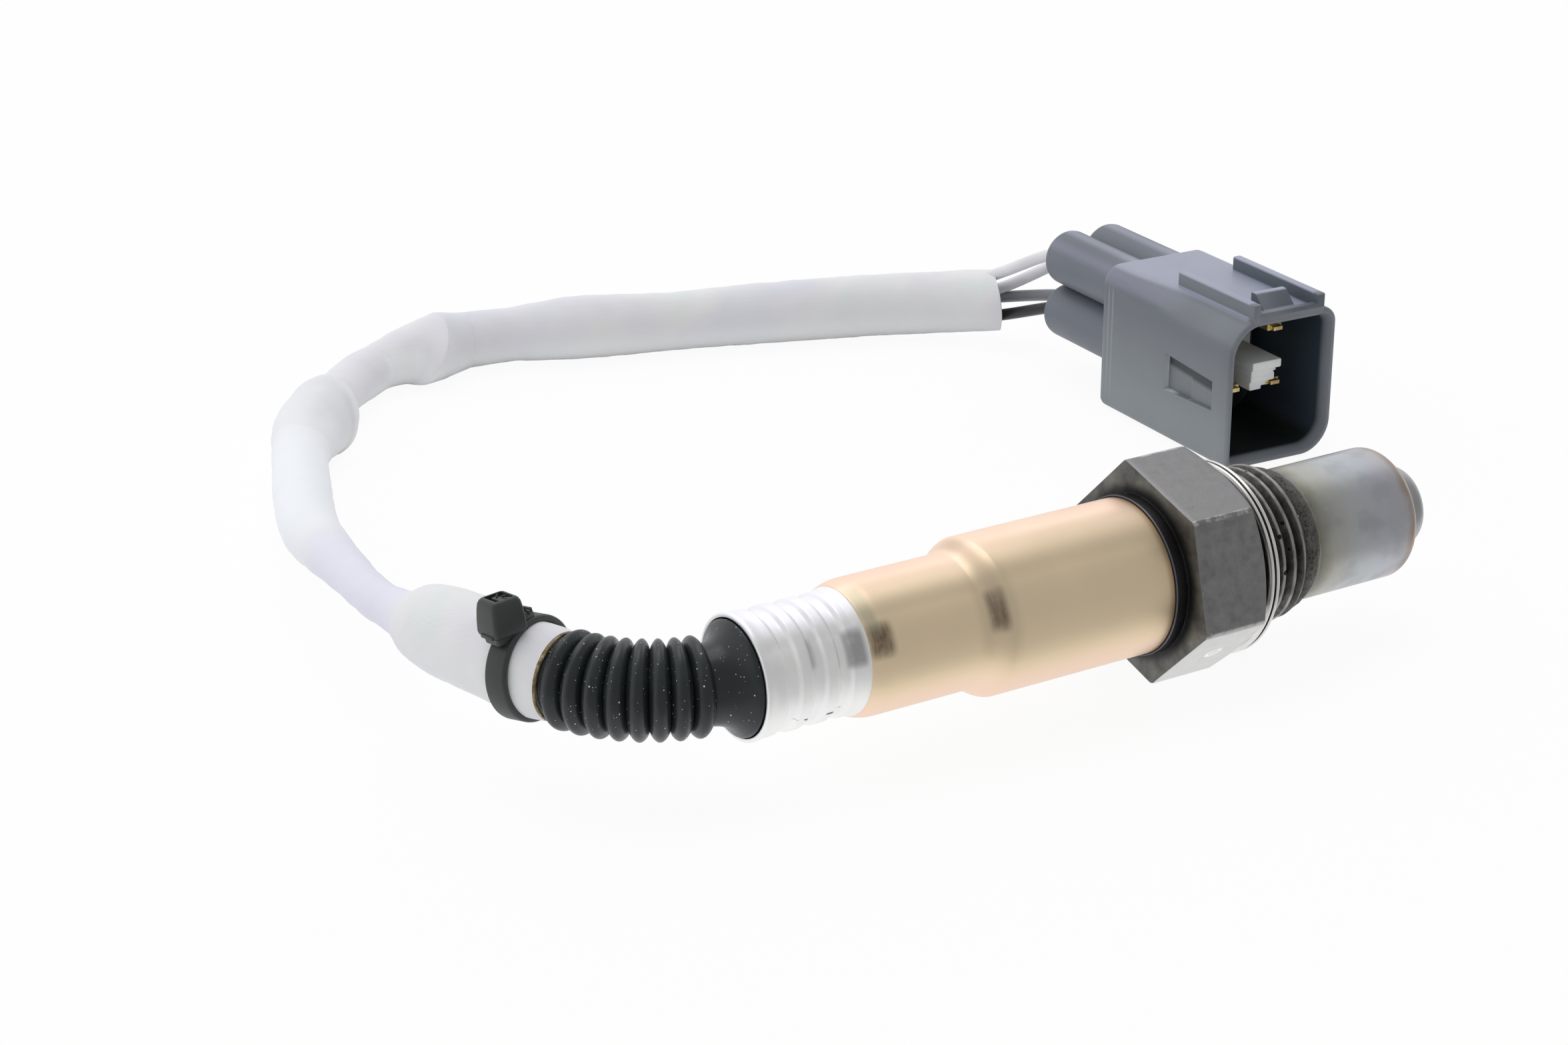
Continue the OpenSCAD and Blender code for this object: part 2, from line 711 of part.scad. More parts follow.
// Housing: mouth, ports, latch tooth between two rails, and the stepped side pocket
module plug_housing() {
    rail_top = plug_h + 2;
    rail_w = 1.2;
    near_rail = [-4.95, 16.5];
    far_rail = [5.1, 18.3];
    tooth_x = [-1.6, 3.2];
    pocket_z = [6.9, 11.9];
    pocket_y = [2.9, 7.8, 13.4];
    pocket_in = [0.5, 0.75];
    side_x = -plug_w / 2;
    rim_bevel = 0.7;
    color([0.43, 0.46, 0.49])
    plug_frame()
    difference() {
        union() {
            along_plug(0, plug_len) plug_outline(0);
            along_plug(plug_len - over, plug_len + port_len) {
                for (sx = [-1, 1], sz = [-1, 1])
                    translate(port_xz(sx, sz)) circle(port_d / 2, $fn = 64);
                translate([0, port_z])
                    square([2 * port_dx, 2 * port_dz], center = true);
            }
            for (rail = [near_rail, far_rail])
                translate([rail[0], 0, plug_h - 0.6])
                    cube([rail_w, rail[1], rail_top - plug_h + 0.6]);
            translate([tooth_x[0], 0, 0])
                rotate([90, 0, 90])
                    linear_extrude(height = tooth_x[1] - tooth_x[0])
                        polygon([[1.8, plug_h - over], [4.3, plug_h + 1.9], [5.2, plug_h + 1.9],
                                 [5.2, plug_h - over]]);
            translate([near_rail[0] + rail_w - over, 0, plug_h - over])
                cube([far_rail[0] - near_rail[0] - rail_w + 2 * over, 1, 0.8 + over]);
        }
        translate([0, 0, pocket_z[0]])
            linear_extrude(height = pocket_z[1] - pocket_z[0])
                polygon([[side_x - over, pocket_y[0]], [side_x + pocket_in[0], pocket_y[0]],
                         [side_x + pocket_in[0], pocket_y[1]], [side_x + pocket_in[1], pocket_y[1]],
                         [side_x + pocket_in[1], pocket_y[2]], [side_x - over, pocket_y[2]]]);
        along_plug(-over, mouth_depth) plug_outline(plug_wall);
        translate([0, rim_bevel, 0])
            intersection() {
                along_plug(-rim_bevel - over, 0) plug_outline(plug_wall - rim_bevel / 2);
                translate([-plug_w / 2, -rim_bevel - over, plug_wall - rim_bevel / 2])
                    cube([plug_w, rim_bevel + over, plug_h - 2 * plug_wall + rim_bevel / 2]);
            }
        along_plug(mouth_depth - over, plug_len + port_len - seal_depth)
            for (sx = [-1, 1], sz = [-1, 1])
                translate(port_xz(sx, sz)) square(cell_size, center = true);
        along_plug(plug_len + port_len - seal_depth - over, plug_len + port_len + over)
            for (sx = [-1, 1], sz = [-1, 1])
                translate(port_xz(sx, sz)) circle(seal_bore_r, $fn = 48);
    }
}

// White retainer seated on the floor of the mouth, with a stepped block between the tabs
module terminal_retainer() {
    plate_t = 1.4;
    plate_w = 12;
    plate_z = [5.2, 17.8];
    color([0.85, 0.87, 0.88])
    plug_frame()
    difference() {
        union() {
            along_plug(mouth_depth - plate_t, mouth_depth - hair)
                translate([0, (plate_z[0] + plate_z[1]) / 2])
                    round_rect(plate_w, plate_z[1] - plate_z[0], 1);
            along_plug(3.2, mouth_depth - plate_t + over)
                translate([-2.2, 11.4]) square([4.5, 1.2]);
            along_plug(3.8, mouth_depth - plate_t + over)
                translate([-2, 9.6]) square([3.7, 1.9]);
            along_plug(4.4, mouth_depth - plate_t + over)
                translate([-1.8, 8.7]) square([2.6, 1]);
        }
        along_plug(mouth_depth - plate_t - over, mouth_depth + over)
            for (sx = [-1, 1], sz = [-1, 1])
                translate(port_xz(sx, sz)) square([pin_size[0] + 0.3, pin_size[1] + 0.3], center = true);
    }
}

// Four tab terminals with their boxes and crimps
module terminal_pins() {
    color([0.78, 0.62, 0.3])
    plug_frame()
    each_port()
    difference() {
        union() {
            along_plug(pin_tip_y + 0.8, pin_box_y0 + over) square(pin_size, center = true);
            along_plug(pin_tip_y, pin_tip_y + 0.9) square([pin_size[0] - 0.8, pin_size[1] - 0.3], center = true);
            along_plug(pin_box_y0, pin_box_y1) square(pin_box, center = true);
            along_plug(pin_box_y1 - over, pin_end_y) circle(1.25, $fn = 32);
        }
        along_plug(pin_end_y - 2.45, pin_end_y + over) circle(wire_hole_r, $fn = 32);
    }
}

// Four ribbed rubber seals at the mouths of the ports
module wire_seals() {
    r = seal_bore_r - hair;
    y0 = plug_len + port_len - 6;
    color([0.25, 0.32, 0.4])
    plug_frame()
    each_port()
        translate([0, y0, 0])
            rotate([-90, 0, 0])
                rotate_extrude($fn = 48)
                    polygon([
                        [wire_hole_r, 0], [r - 0.35, 0], [r, 0.5], [r - 0.35, 1], [r - 0.35, 1.4], [r, 1.9],
                        [r - 0.35, 2.4], [r - 0.35, 2.8], [r, 3.3], [r - 0.35, 3.8], [r - 0.35, 4.6],
                        [wire_hole_r, 4.6]
                    ]);
}

hex_shell();
gasket_ring();
outer_protection_tube();
inner_protection_tube();
sensing_element();
lower_ceramic_bush();
powder_seal();
upper_ceramic_bush();
clamp_spring();
contact_holder();
contact_springs();
wire_crimps();
shield_sleeve();
crimp_collar();
seal_grommet();
rubber_boot();
woven_sleeve();
cable_tie();
wire_white_upper();
wire_white_lower();
wire_grey();
wire_black();
plug_housing();
terminal_retainer();
terminal_pins();
wire_seals();
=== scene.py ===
"""Looks of a four-wire exhaust oxygen sensor with its lead and plug.

Sizes are in millimetres in the code and in metres in every mesh. X runs along the body towards
the tip, Z is up, and the floor is z = 0.
"""

import logging
import math
from dataclasses import dataclass, field
from enum import Enum
from typing import Callable, Optional, Sequence

import bmesh
import bpy
from mathutils import Matrix, Vector, noise


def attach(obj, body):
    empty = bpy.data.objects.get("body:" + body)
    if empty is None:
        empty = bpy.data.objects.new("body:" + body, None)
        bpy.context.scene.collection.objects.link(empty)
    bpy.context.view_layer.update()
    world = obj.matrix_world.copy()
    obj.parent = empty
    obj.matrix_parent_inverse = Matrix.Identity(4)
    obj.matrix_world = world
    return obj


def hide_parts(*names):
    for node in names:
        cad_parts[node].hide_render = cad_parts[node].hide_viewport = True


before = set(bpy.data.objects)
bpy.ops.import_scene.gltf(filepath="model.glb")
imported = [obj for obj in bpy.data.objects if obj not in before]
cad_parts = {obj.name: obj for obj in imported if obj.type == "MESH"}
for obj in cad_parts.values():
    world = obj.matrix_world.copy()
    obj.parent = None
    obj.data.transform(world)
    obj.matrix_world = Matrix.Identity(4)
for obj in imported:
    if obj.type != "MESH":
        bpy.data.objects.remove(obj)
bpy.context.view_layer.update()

LOG = logging.getLogger("sensor")
MM = 0.001
UP = Vector((0, 0, 1))
AXIS_Z = 12.298  # height of the body's axis above the floor
RIM_X = -45.0  # the collar's rim, where the boot's curved axis starts
GASKET_LIFT = -0.34  # the loose ring hangs a little below the body's axis
PLUG_PLACE = (63.0, 42.6, 0.0)  # lower edge of the plug's mouth, at its middle
PLUG_TURN = -2.8  # degrees about the upright
POCKET_SLANT = 0.0667  # rise of the side pocket's upper edge for each millimetre towards the rear
POCKET_FALL = 0.035  # fall of its lower edge, likewise
FLOOR_GAP = 0.03  # what the lead keeps from the floor
SEAM = 2e-6  # points of a mesh nearer than this, in metres, are one

BMesh = bmesh.types.BMesh
Node = bpy.types.Node
Socket = bpy.types.NodeSocket
Tree = bpy.types.NodeTree
Pair = tuple[float, float]
Triple = tuple[float, float, float]
Quad = tuple[float, float, float, float]
Colour = Triple


class Slot(Enum):
    """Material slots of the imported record."""

    DARK_STEEL = "dark_steel"
    BRIGHT_STEEL = "bright_steel"
    TUBE_STEEL = "tube_steel"
    TINTED_STEEL = "tinted_steel"
    CERAMIC = "ceramic"
    CONTACT_METAL = "contact_metal"
    BOOT_RUBBER = "boot_rubber"
    WOVEN_WHITE = "woven_white"
    TIE_NYLON = "tie_nylon"
    WHITE_INSULATION = "white_insulation"
    GREY_INSULATION = "grey_insulation"
    BLACK_INSULATION = "black_insulation"
    GREY_PLASTIC = "grey_plastic"
    WHITE_PLASTIC = "white_plastic"
    SEAL_RUBBER = "seal_rubber"


# Shape helpers


def mix(a: float, b: float, t: float) -> float:
    """Value between a and b at t."""
    return a + (b - a) * t


def ease(t: float) -> float:
    """Smooth step of t, held between 0 and 1."""
    t = min(max(t, 0.0), 1.0)
    return t * t * (3 - 2 * t)


def rounded(points: Sequence[Sequence[float]], steps: int = 4) -> list[Pair]:
    """Rounds the corners of a closed outline.

    Args:
        points: corners as (a, b) or (a, b, radius).
        steps: pieces in each rounded corner.

    Returns:
        The outline's points in order.
    """
    out: list[Pair] = []
    count = len(points)
    for i, point in enumerate(points):
        radius = point[2] if len(point) > 2 else 0.0
        here = Vector(point[:2])
        back = Vector(points[i - 1][:2]) - here
        ahead = Vector(points[(i + 1) % count][:2]) - here
        if radius <= 0 or back.length < 1e-6 or ahead.length < 1e-6:
            out.append((here.x, here.y))
            continue
        half = back.angle(ahead) / 2
        reach = min(radius / math.tan(half), back.length * 0.48, ahead.length * 0.48)
        true_radius = reach * math.tan(half)
        middle = here + (back.normalized() + ahead.normalized()).normalized() * (true_radius / math.sin(half))
        first = here + back.normalized() * reach - middle
        last = here + ahead.normalized() * reach - middle
        for k in range(steps + 1):
            spot = middle + first.lerp(last, k / steps).normalized() * true_radius
            out.append((spot.x, spot.y))
    return out


def divided(points: Sequence[Pair], pieces: Callable[[Pair, Pair], int]) -> list[Pair]:
    """Closed outline with each side cut into as many pieces as a rule says."""
    out: list[Pair] = []
    for one, two in zip(points, points[1:] + points[:1]):
        count = pieces(one, two)
        out += [(mix(one[0], two[0], k / count), mix(one[1], two[1], k / count)) for k in range(count)]
    return out


def turned(bm: BMesh, outline: Sequence[Pair], steps: int = 160, lift: float = 0.0) -> None:
    """Turns a closed outline of (x, radius) once about the body's axis.

    Args:
        bm: mesh to add to.
        outline: points in millimetres.
        steps: pieces round the circle.
        lift: height of the axis above the body's own.
    """
    height = (AXIS_Z + lift) * MM
    verts = [bm.verts.new((x * MM, 0, height + r * MM)) for x, r in outline]
    edges = [bm.edges.new((verts[i - 1], verts[i])) for i in range(len(verts))]
    bmesh.ops.spin(bm, geom=verts + edges, cent=(0, 0, height), axis=(1, 0, 0), angle=math.tau,
                   steps=steps, use_merge=True)


def skin(bm: BMesh, rings: Sequence[Sequence[Vector]], caps: bool = True, loop: bool = False) -> None:
    """Lays faces over rings of points that all have the same count.

    Args:
        bm: mesh to add to.
        rings: rings of points in millimetres.
        caps: whether the first and last ring are closed by a face.
        loop: whether the last ring joins the first.
    """
    laid = [[bm.verts.new(Vector(p) * MM) for p in ring] for ring in rings]
    pairs = list(zip(laid, laid[1:]))
    if loop:
        pairs.append((laid[-1], laid[0]))
    for one, two in pairs:
        for k in range(len(one)):
            bm.faces.new((one[k - 1], one[k], two[k], two[k - 1]))
    if caps and not loop:
        bm.faces.new(laid[0])
        bm.faces.new(list(reversed(laid[-1])))


def circle(middle: Vector, direction: Vector, radius: float, count: int) -> list[Vector]:
    """Ring of points about a middle, square to a direction."""
    side = UP.cross(direction).normalized()
    up = direction.cross(side).normalized()
    return [middle + (side * math.cos(math.tau * k / count) + up * math.sin(math.tau * k / count)) * radius
            for k in range(count)]


def curve_through(points: Sequence[Vector], per_span: int) -> list[Vector]:
    """Smooth line through points, with per_span steps in each span."""
    out: list[Vector] = []
    last = len(points) - 1
    for i in range(last):
        p0, p1, p2, p3 = points[max(i - 1, 0)], points[i], points[i + 1], points[min(i + 2, last)]
        for k in range(per_span):
            t = k / per_span
            out.append(0.5 * ((2 * p1) + (p2 - p0) * t + (2 * p0 - 5 * p1 + 4 * p2 - p3) * t ** 2
                              + (3 * p1 - p0 - 3 * p2 + p3) * t ** 3))
    out.append(points[last].copy())
    return out


def heading(line: Sequence[Vector], i: int) -> Vector:
    """Direction of a line at one of its points."""
    return (line[min(i + 1, len(line) - 1)] - line[max(i - 1, 0)]).normalized()


def block(bm: BMesh, place: Matrix, low: Sequence[float], high: Sequence[float],
          edge: float = 0.15) -> None:
    """Adds a box with rounded edges.

    Args:
        bm: mesh to add to.
        place: frame that the box is given in, in millimetres.
        low: lowest corner.
        high: highest corner.
        edge: radius of its edges.
    """
    size = [h - l for l, h in zip(low, high)]
    middle = [(h + l) / 2 for l, h in zip(low, high)]
    made = bmesh.ops.create_cube(bm, size=1.0)["verts"]
    bmesh.ops.scale(bm, vec=size, verts=made)
    bmesh.ops.translate(bm, vec=middle, verts=made)
    edges = {e for v in made for e in v.link_edges}
    done = bmesh.ops.bevel(bm, geom=list(edges), offset=edge, segments=2, profile=0.5, affect="EDGES", material=-1)
    verts = {v for f in done["faces"] for v in f.verts} | {v for v in made if v.is_valid}
    bmesh.ops.transform(bm, matrix=Matrix.Scale(MM, 4) @ place, verts=list(verts))


def in_scene(name: str, data: bpy.types.ID) -> bpy.types.Object:
    """Object of some data, linked to the scene."""
    obj = bpy.data.objects.new(name, data)
    bpy.context.scene.collection.objects.link(obj)
    return obj


def meshed(name: str, bm: BMesh) -> bpy.types.Object:
    """Object of a mesh, which is used up."""
    mesh = bpy.data.meshes.new(name)
    bm.to_mesh(mesh)
    bm.free()
    return in_scene(name, mesh)


# Material helpers


def scaled(colour: Colour, factor: float, add: float = 0.0) -> Colour:
    """A colour times a factor plus an amount, held at 1."""
    return tuple(min(c * factor + add, 1.0) for c in colour)


def set_plain(node: Node, **values: object) -> None:
    """Sets plain values on a node's inputs; an underscore in a name stands for a space."""
    for name, value in values.items():
        node.inputs[name.replace("_", " ")].default_value = value


class Desk:
    """Lays nodes in one node tree."""

    def __init__(self, tree: Tree) -> None:
        """Keeps the tree."""
        self.tree = tree
        self.places: dict[tuple, Socket] = {}

    def add(self, kind: str, **settings: object) -> Node:
        """Adds a node and sets its fields."""
        node = self.tree.nodes.new(kind)
        for key, value in settings.items():
            setattr(node, key, value)
        return node

    def put(self, socket: Socket, value: object) -> None:
        """Links a socket into another, or sets a plain value."""
        if isinstance(value, Socket):
            self.tree.links.new(value, socket)
        else:
            socket.default_value = value

    def fed(self, kind: str, *values: object, **settings: object) -> Node:
        """Adds a node and fills its first inputs in order."""
        node = self.add(kind, **settings)
        for i, value in enumerate(values):
            self.put(node.inputs[i], value)
        return node

    def shared(self, tree: Tree, **values: object) -> Node:
        """Adds a shared node group and fills its inputs."""
        node = self.add("ShaderNodeGroup", node_tree=tree)
        for name, value in values.items():
            self.put(node.inputs[name], value)
        return node

    def math(self, operation: str, a: object, b: object = 0.0) -> Socket:
        """One step of arithmetic."""
        return self.fed("ShaderNodeMath", a, b, operation=operation).outputs[0]

    def total(self, *parts: object) -> Socket:
        """Sum of several values."""
        out = parts[0]
        for part in parts[1:]:
            out = self.math("ADD", out, part)
        return out

    def product(self, *parts: object) -> Socket:
        """Product of several values."""
        out = parts[0]
        for part in parts[1:]:
            out = self.math("MULTIPLY", out, part)
        return out

    def length(self, a: object, b: object) -> Socket:
        """Length of the vector (a, b)."""
        return self.math("SQRT", self.total(self.product(a, a), self.product(b, b)))

    def split(self, vector: object) -> Sequence[Socket]:
        """X, Y and Z of a vector."""
        return tuple(self.fed("ShaderNodeSeparateXYZ", vector).outputs)

    def place(self, scale: Triple = (1, 1, 1)) -> Socket:
        """Object coordinates in millimetres, times a scale."""
        if scale not in self.places:
            coords = self.add("ShaderNodeTexCoord").outputs["Object"]
            self.places[scale] = self.fed("ShaderNodeVectorMath", coords, [s / MM for s in scale],
                                          operation="MULTIPLY").outputs[0]
        return self.places[scale]

    def between(self, value: object, low: float, high: float, out_low: float = 0.0, out_high: float = 1.0) -> Socket:
        """Smooth step of a value from low to high."""
        return self.fed("ShaderNodeMapRange", value, low, high, out_low, out_high,
                        interpolation_type="SMOOTHSTEP").outputs[0]

    def band(self, value: object, low: float, high: float, soft: float) -> Socket:
        """1 between low and high, fading over soft on both sides."""
        return self.product(self.between(value, low - soft, low + soft),
                            self.between(value, high - soft, high + soft, 1.0, 0.0))

    def round_spot(self, turn: object, middle: float, reach: float, soft: float) -> Socket:
        """1 within reach of a turn about the axis, both in degrees, fading over soft on each side."""
        near = self.math("COSINE", self.math("SUBTRACT", turn, math.radians(middle)))
        return self.between(near, math.cos(math.radians(reach + soft)), math.cos(math.radians(max(reach - soft, 0))))

    def blend(self, factor: object, a: object, b: object) -> Socket:
        """Mixes two colours."""
        node = self.add("ShaderNodeMix", data_type="RGBA")
        self.put(node.inputs["Factor"], factor)
        colours = [s for s in node.inputs if s.type == "RGBA"]
        for socket, value in zip(colours, (a, b)):
            self.put(socket, (*value, 1.0) if isinstance(value, tuple) else value)
        return [s for s in node.outputs if s.type == "RGBA"][0]

    def cloud(self, where: object, scale: float, detail: float = 3.0, rough: float = 0.5) -> Socket:
        """Noise from 0 to 1."""
        node = self.add("ShaderNodeTexNoise")
        self.put(node.inputs["Vector"], where)
        set_plain(node, Scale=scale, Detail=detail, Roughness=rough)
        return node.outputs[0]

    def ramp(self, value: object, *stops: tuple[float, Colour]) -> Socket:
        """Colour ramp."""
        node = self.fed("ShaderNodeValToRGB", value)
        elements = node.color_ramp.elements
        while len(elements) < len(stops):
            elements.new(0.5)
        for element, (spot, colour) in zip(elements, stops):
            element.position = spot
            element.color = (*colour, 1.0)
        return node.outputs[0]

    def bump(self, height: object, strength: float, distance: float, under: Optional[Socket] = None) -> Socket:
        """Bumped normal; distance is in millimetres."""
        node = self.add("ShaderNodeBump")
        set_plain(node, Strength=strength, Distance=distance * MM)
        self.put(node.inputs["Height"], height)
        if under is not None:
            self.put(node.inputs["Normal"], under)
        return node.outputs[0]


def new_group(name: str, inputs: dict[str, float], outputs: Sequence[str]) -> tuple[Tree, Node, Node, Desk]:
    """Starts a shader node group; sockets named Vector or Unrolled are vectors, the others numbers.

    Args:
        name: the group's name.
        inputs: socket names with their starting values.
        outputs: socket names.

    Returns:
        The tree, its input node, its output node and a desk on it.
    """
    tree = bpy.data.node_groups.new(name, "ShaderNodeTree")
    for way, labels in (("INPUT", inputs), ("OUTPUT", outputs)):
        for label in labels:
            vector = label in ("Vector", "Unrolled")
            socket = tree.interface.new_socket(
                label, in_out=way, socket_type="NodeSocketVector" if vector else "NodeSocketFloat")
            if way == "INPUT" and not vector:
                socket.default_value = inputs[label]
    desk = Desk(tree)
    return tree, desk.add("NodeGroupInput"), desk.add("NodeGroupOutput"), desk


class Shared:
    """Effects that several finishes use, as node groups."""

    def __init__(self) -> None:
        """Builds the groups."""
        self.axis_frame = self.build_axis_frame()
        self.specks = self.build_specks()
        self.weave = self.build_weave()

    def build_axis_frame(self) -> Tree:
        """Place along the body's axis, distance from it, turn about it, and place and turn as one vector."""
        tree, _, out, desk = new_group("axis_frame", {}, ["Along", "Radius", "Turn", "Unrolled"])
        x, y, z = desk.split(desk.place())
        height = desk.math("SUBTRACT", z, AXIS_Z)
        turn = desk.math("ARCTAN2", height, y)
        unrolled = desk.fed("ShaderNodeCombineXYZ", x, desk.product(desk.math("COSINE", turn), 2.0),
                            desk.product(desk.math("SINE", turn), 2.0)).outputs[0]
        for socket, value in zip(out.inputs, (x, desk.length(height, y), turn, unrolled)):
            desk.put(socket, value)
        return tree

    def build_specks(self) -> Tree:
        """Scattered small spots: Size is their radius in cells, Share how many cells have one."""
        tree, inp, out, desk = new_group("specks", {"Vector": 0.0, "Scale": 1.0, "Size": 0.1, "Share": 0.2}, ["Mask"])
        cells = desk.add("ShaderNodeTexVoronoi")
        for name in ("Vector", "Scale"):
            desk.put(cells.inputs[name], inp.outputs[name])
        pick = desk.fed("ShaderNodeSeparateColor", cells.outputs["Color"])
        chosen = desk.math("LESS_THAN", pick.outputs[0], inp.outputs["Share"])
        size = desk.product(inp.outputs["Size"], desk.total(pick.outputs[1], 0.35))
        desk.put(out.inputs["Mask"], desk.product(chosen, desk.math("LESS_THAN", cells.outputs["Distance"], size)))
        return tree

    def build_weave(self) -> Tree:
        """Height of a fine over-and-under weave."""
        tree, inp, out, desk = new_group("weave", {"Vector": 0.0, "Threads": 1.0}, ["Height"])
        x, y, z = desk.split(inp.outputs["Vector"])
        flat = desk.total(x, desk.product(y, 0.6))
        rows = [desk.math("SINE", desk.product(desk.math(kind, flat, z), inp.outputs["Threads"]))
                for kind in ("ADD", "SUBTRACT")]
        desk.put(out.inputs["Height"], desk.product(*rows))
        return tree


class Paint(Desk):
    """A desk on one material: coats of colour are laid one over the other, then linked to the shader."""

    def __init__(self, tree: Tree, groups: Shared) -> None:
        """Keeps the shader and the shared groups."""
        super().__init__(tree)
        self.shader = tree.nodes["Principled BSDF"]
        self.groups = groups
        self.base: object = None

    def axis(self) -> Sequence[Socket]:
        """Place along the body's axis, distance from it, turn about it, and place and turn as one vector."""
        return tuple(self.shared(self.groups.axis_frame).outputs)

    def grain(self, scale: float, detail: float = 3.0, rough: float = 0.5, stretch: Triple = (1, 1, 1)) -> Socket:
        """Noise over the object, from 0 to 1."""
        return self.cloud(self.place(stretch), scale, detail, rough)

    def specks(self, scale: float, size: float, share: float, stretch: Triple = (1, 1, 1)) -> Socket:
        """Mask of scattered spots."""
        return self.shared(self.groups.specks, Vector=self.place(stretch), Scale=scale, Size=size,
                           Share=share).outputs[0]

    def coats(self, *coats: Sequence[object]) -> None:
        """Lays coats, each a colour and the masks that say where."""
        for colour, *masks in coats:
            self.base = self.blend(self.product(*masks), self.base, colour)

    def link(self, rough: Optional[Socket] = None, normal: Optional[Socket] = None) -> None:
        """Links the coats, the roughness and the normal to the shader."""
        for name, socket in (("Base Color", self.base), ("Roughness", rough), ("Normal", normal)):
            if socket is not None:
                self.put(self.shader.inputs[name], socket)


@dataclass(frozen=True)
class Finish:
    """A material: its name and the values set on the shader itself."""

    name: str
    slot: Slot
    colour: Colour = (0.5, 0.5, 0.5)
    metallic: float = 0.0
    roughness: float = 0.5

    def make(self, groups: Shared) -> bpy.types.Material:
        """Builds the material.

        Args:
            groups: the shared node groups.

        Returns:
            The new material.
        """
        material = bpy.data.materials.new(self.name)
        material.use_nodes = True
        material.diffuse_color = (*self.colour, 1.0)
        paint = Paint(material.node_tree, groups)
        set_plain(paint.shader, Base_Color=(*self.colour, 1.0), Metallic=self.metallic, Roughness=self.roughness)
        self.dress(paint)
        return material

    def dress(self, paint: Paint) -> None:
        """Adds the finish's own nodes; a plain finish has fine grain only."""
        paint.base = paint.ramp(paint.grain(1.6, 4.0), (0.3, scaled(self.colour, 0.93)),
                                (0.7, scaled(self.colour, 1.06)))
        paint.link(None, paint.bump(paint.grain(6.0), 0.25, 0.05))


@dataclass(frozen=True)
class ShellSteel(Finish):
    """Oxidised steel of the hexagon and thread: dark cable face, brushed flats, pits and nicks, with painted light and
    shade: a shaded upper flat, a lower flat that reflects the floor, shade round the lip and in the undercut, and
    highlighted thread crests.
    """

    def dress(self, paint: Paint) -> None:
        """Colours by place along the axis and distance from it."""
        along, radius, turn, _ = paint.axis()
        between, band = paint.between, paint.band
        mottle = paint.grain(0.7, 5.0, 0.6)
        brushed = between(paint.grain(1.6, 2.0, stretch=(0.25, 5.0, 5.0)), 0.35, 0.7, 0.2, 0.6)
        upper, lower = (paint.round_spot(turn, middle, 30.0, 2.0) for middle in (105.5, 225.5))
        face = paint.product(band(along, 6.8, 6.98, 0.04), between(radius, 8.9, 8.98))
        face_tone_and_painted_lip_shade = paint.ramp(paint.grain(0.3, 4.0, 0.6), (0.35, (0.1, 0.096, 0.092)), (0.5, (0.15, 0.148, 0.138)),
                          (0.65, (0.2, 0.2, 0.18)))
        # painted dark reflection: the cable face darkened towards the lip
        face_tone_and_painted_lip_shade = paint.blend(between(radius, 9.2, 10.6, 0.9, 0.0), face_tone_and_painted_lip_shade, (0.024, 0.023, 0.026))
        screw = band(along, 17.5, 24.5, 0.1)
        oxide = paint.ramp(paint.grain(0.9, 4.0), (0.35, (0.07, 0.067, 0.064)), (0.7, (0.16, 0.155, 0.148)))
        pits = paint.specks(3.2, 0.2, 0.25)
        paint.base = paint.ramp(mottle, (0.32, (0.2, 0.198, 0.2)), (0.5, (0.25, 0.247, 0.25)), (0.7, (0.3, 0.296, 0.3)))
        paint.coats(
            # painted shade: the upper flat darker, mixed with its brushed streaks
            ((0.235, 0.23, 0.24), upper, brushed),
            # painted reflection: the lower flat bright with the floor it faces
            ((0.74, 0.74, 0.73), lower, 0.85),
            ((1.0, 1.0, 1.0), self.dot_glow(paint)),
            (face_tone_and_painted_lip_shade, face),
            ((0.035, 0.032, 0.034), between(along, 6.6, 6.88, 1.0, 0.0)),
            ((0.17, 0.18, 0.21), band(along, 5.25, 5.38, 0.05)),
            # painted shade in the undercut between the seat and the thread
            ((0.02, 0.018, 0.017), band(along, 15.95, 17.5, 0.05)),
            (oxide, screw),
            # painted highlight on the thread's crests
            ((0.36, 0.355, 0.35), screw, between(radius, 8.84, 8.98), between(paint.grain(0.5), 0.25, 0.6, 0.4)),
            ((0.03, 0.026, 0.022), paint.specks(0.9, 0.22, 0.35), screw),
            ((0.12, 0.118, 0.12), pits, 0.3),
            ((0.6, 0.6, 0.6), between(radius, 12.5, 12.56), between(paint.grain(0.8, 2.0), 0.4, 0.6), 0.7),
            ((0.7, 0.7, 0.69), paint.specks(0.8, 0.07, 0.16, (1.0, 1.0, 0.35))))
        rough = paint.total(between(mottle, 0.3, 0.75, 0.4, 0.54), paint.product(lower, -0.1), paint.product(face, 0.1))
        paint.link(rough, paint.bump(pits, 0.4, 0.03, paint.bump(paint.grain(4.5, 5.0, 0.6), 0.35, 0.05)))

    def dot_glow(self, paint: Paint) -> Socket:
        """Mask of the bright metal round the punched dot."""
        turn = math.radians(-134.5)
        middle = (11.7, 11.0 * math.cos(turn), AXIS_Z + 11.0 * math.sin(turn))
        away = paint.fed("ShaderNodeVectorMath", paint.place(), middle, operation="DISTANCE")
        return paint.between(away.outputs["Value"], 1.3, 0.8)


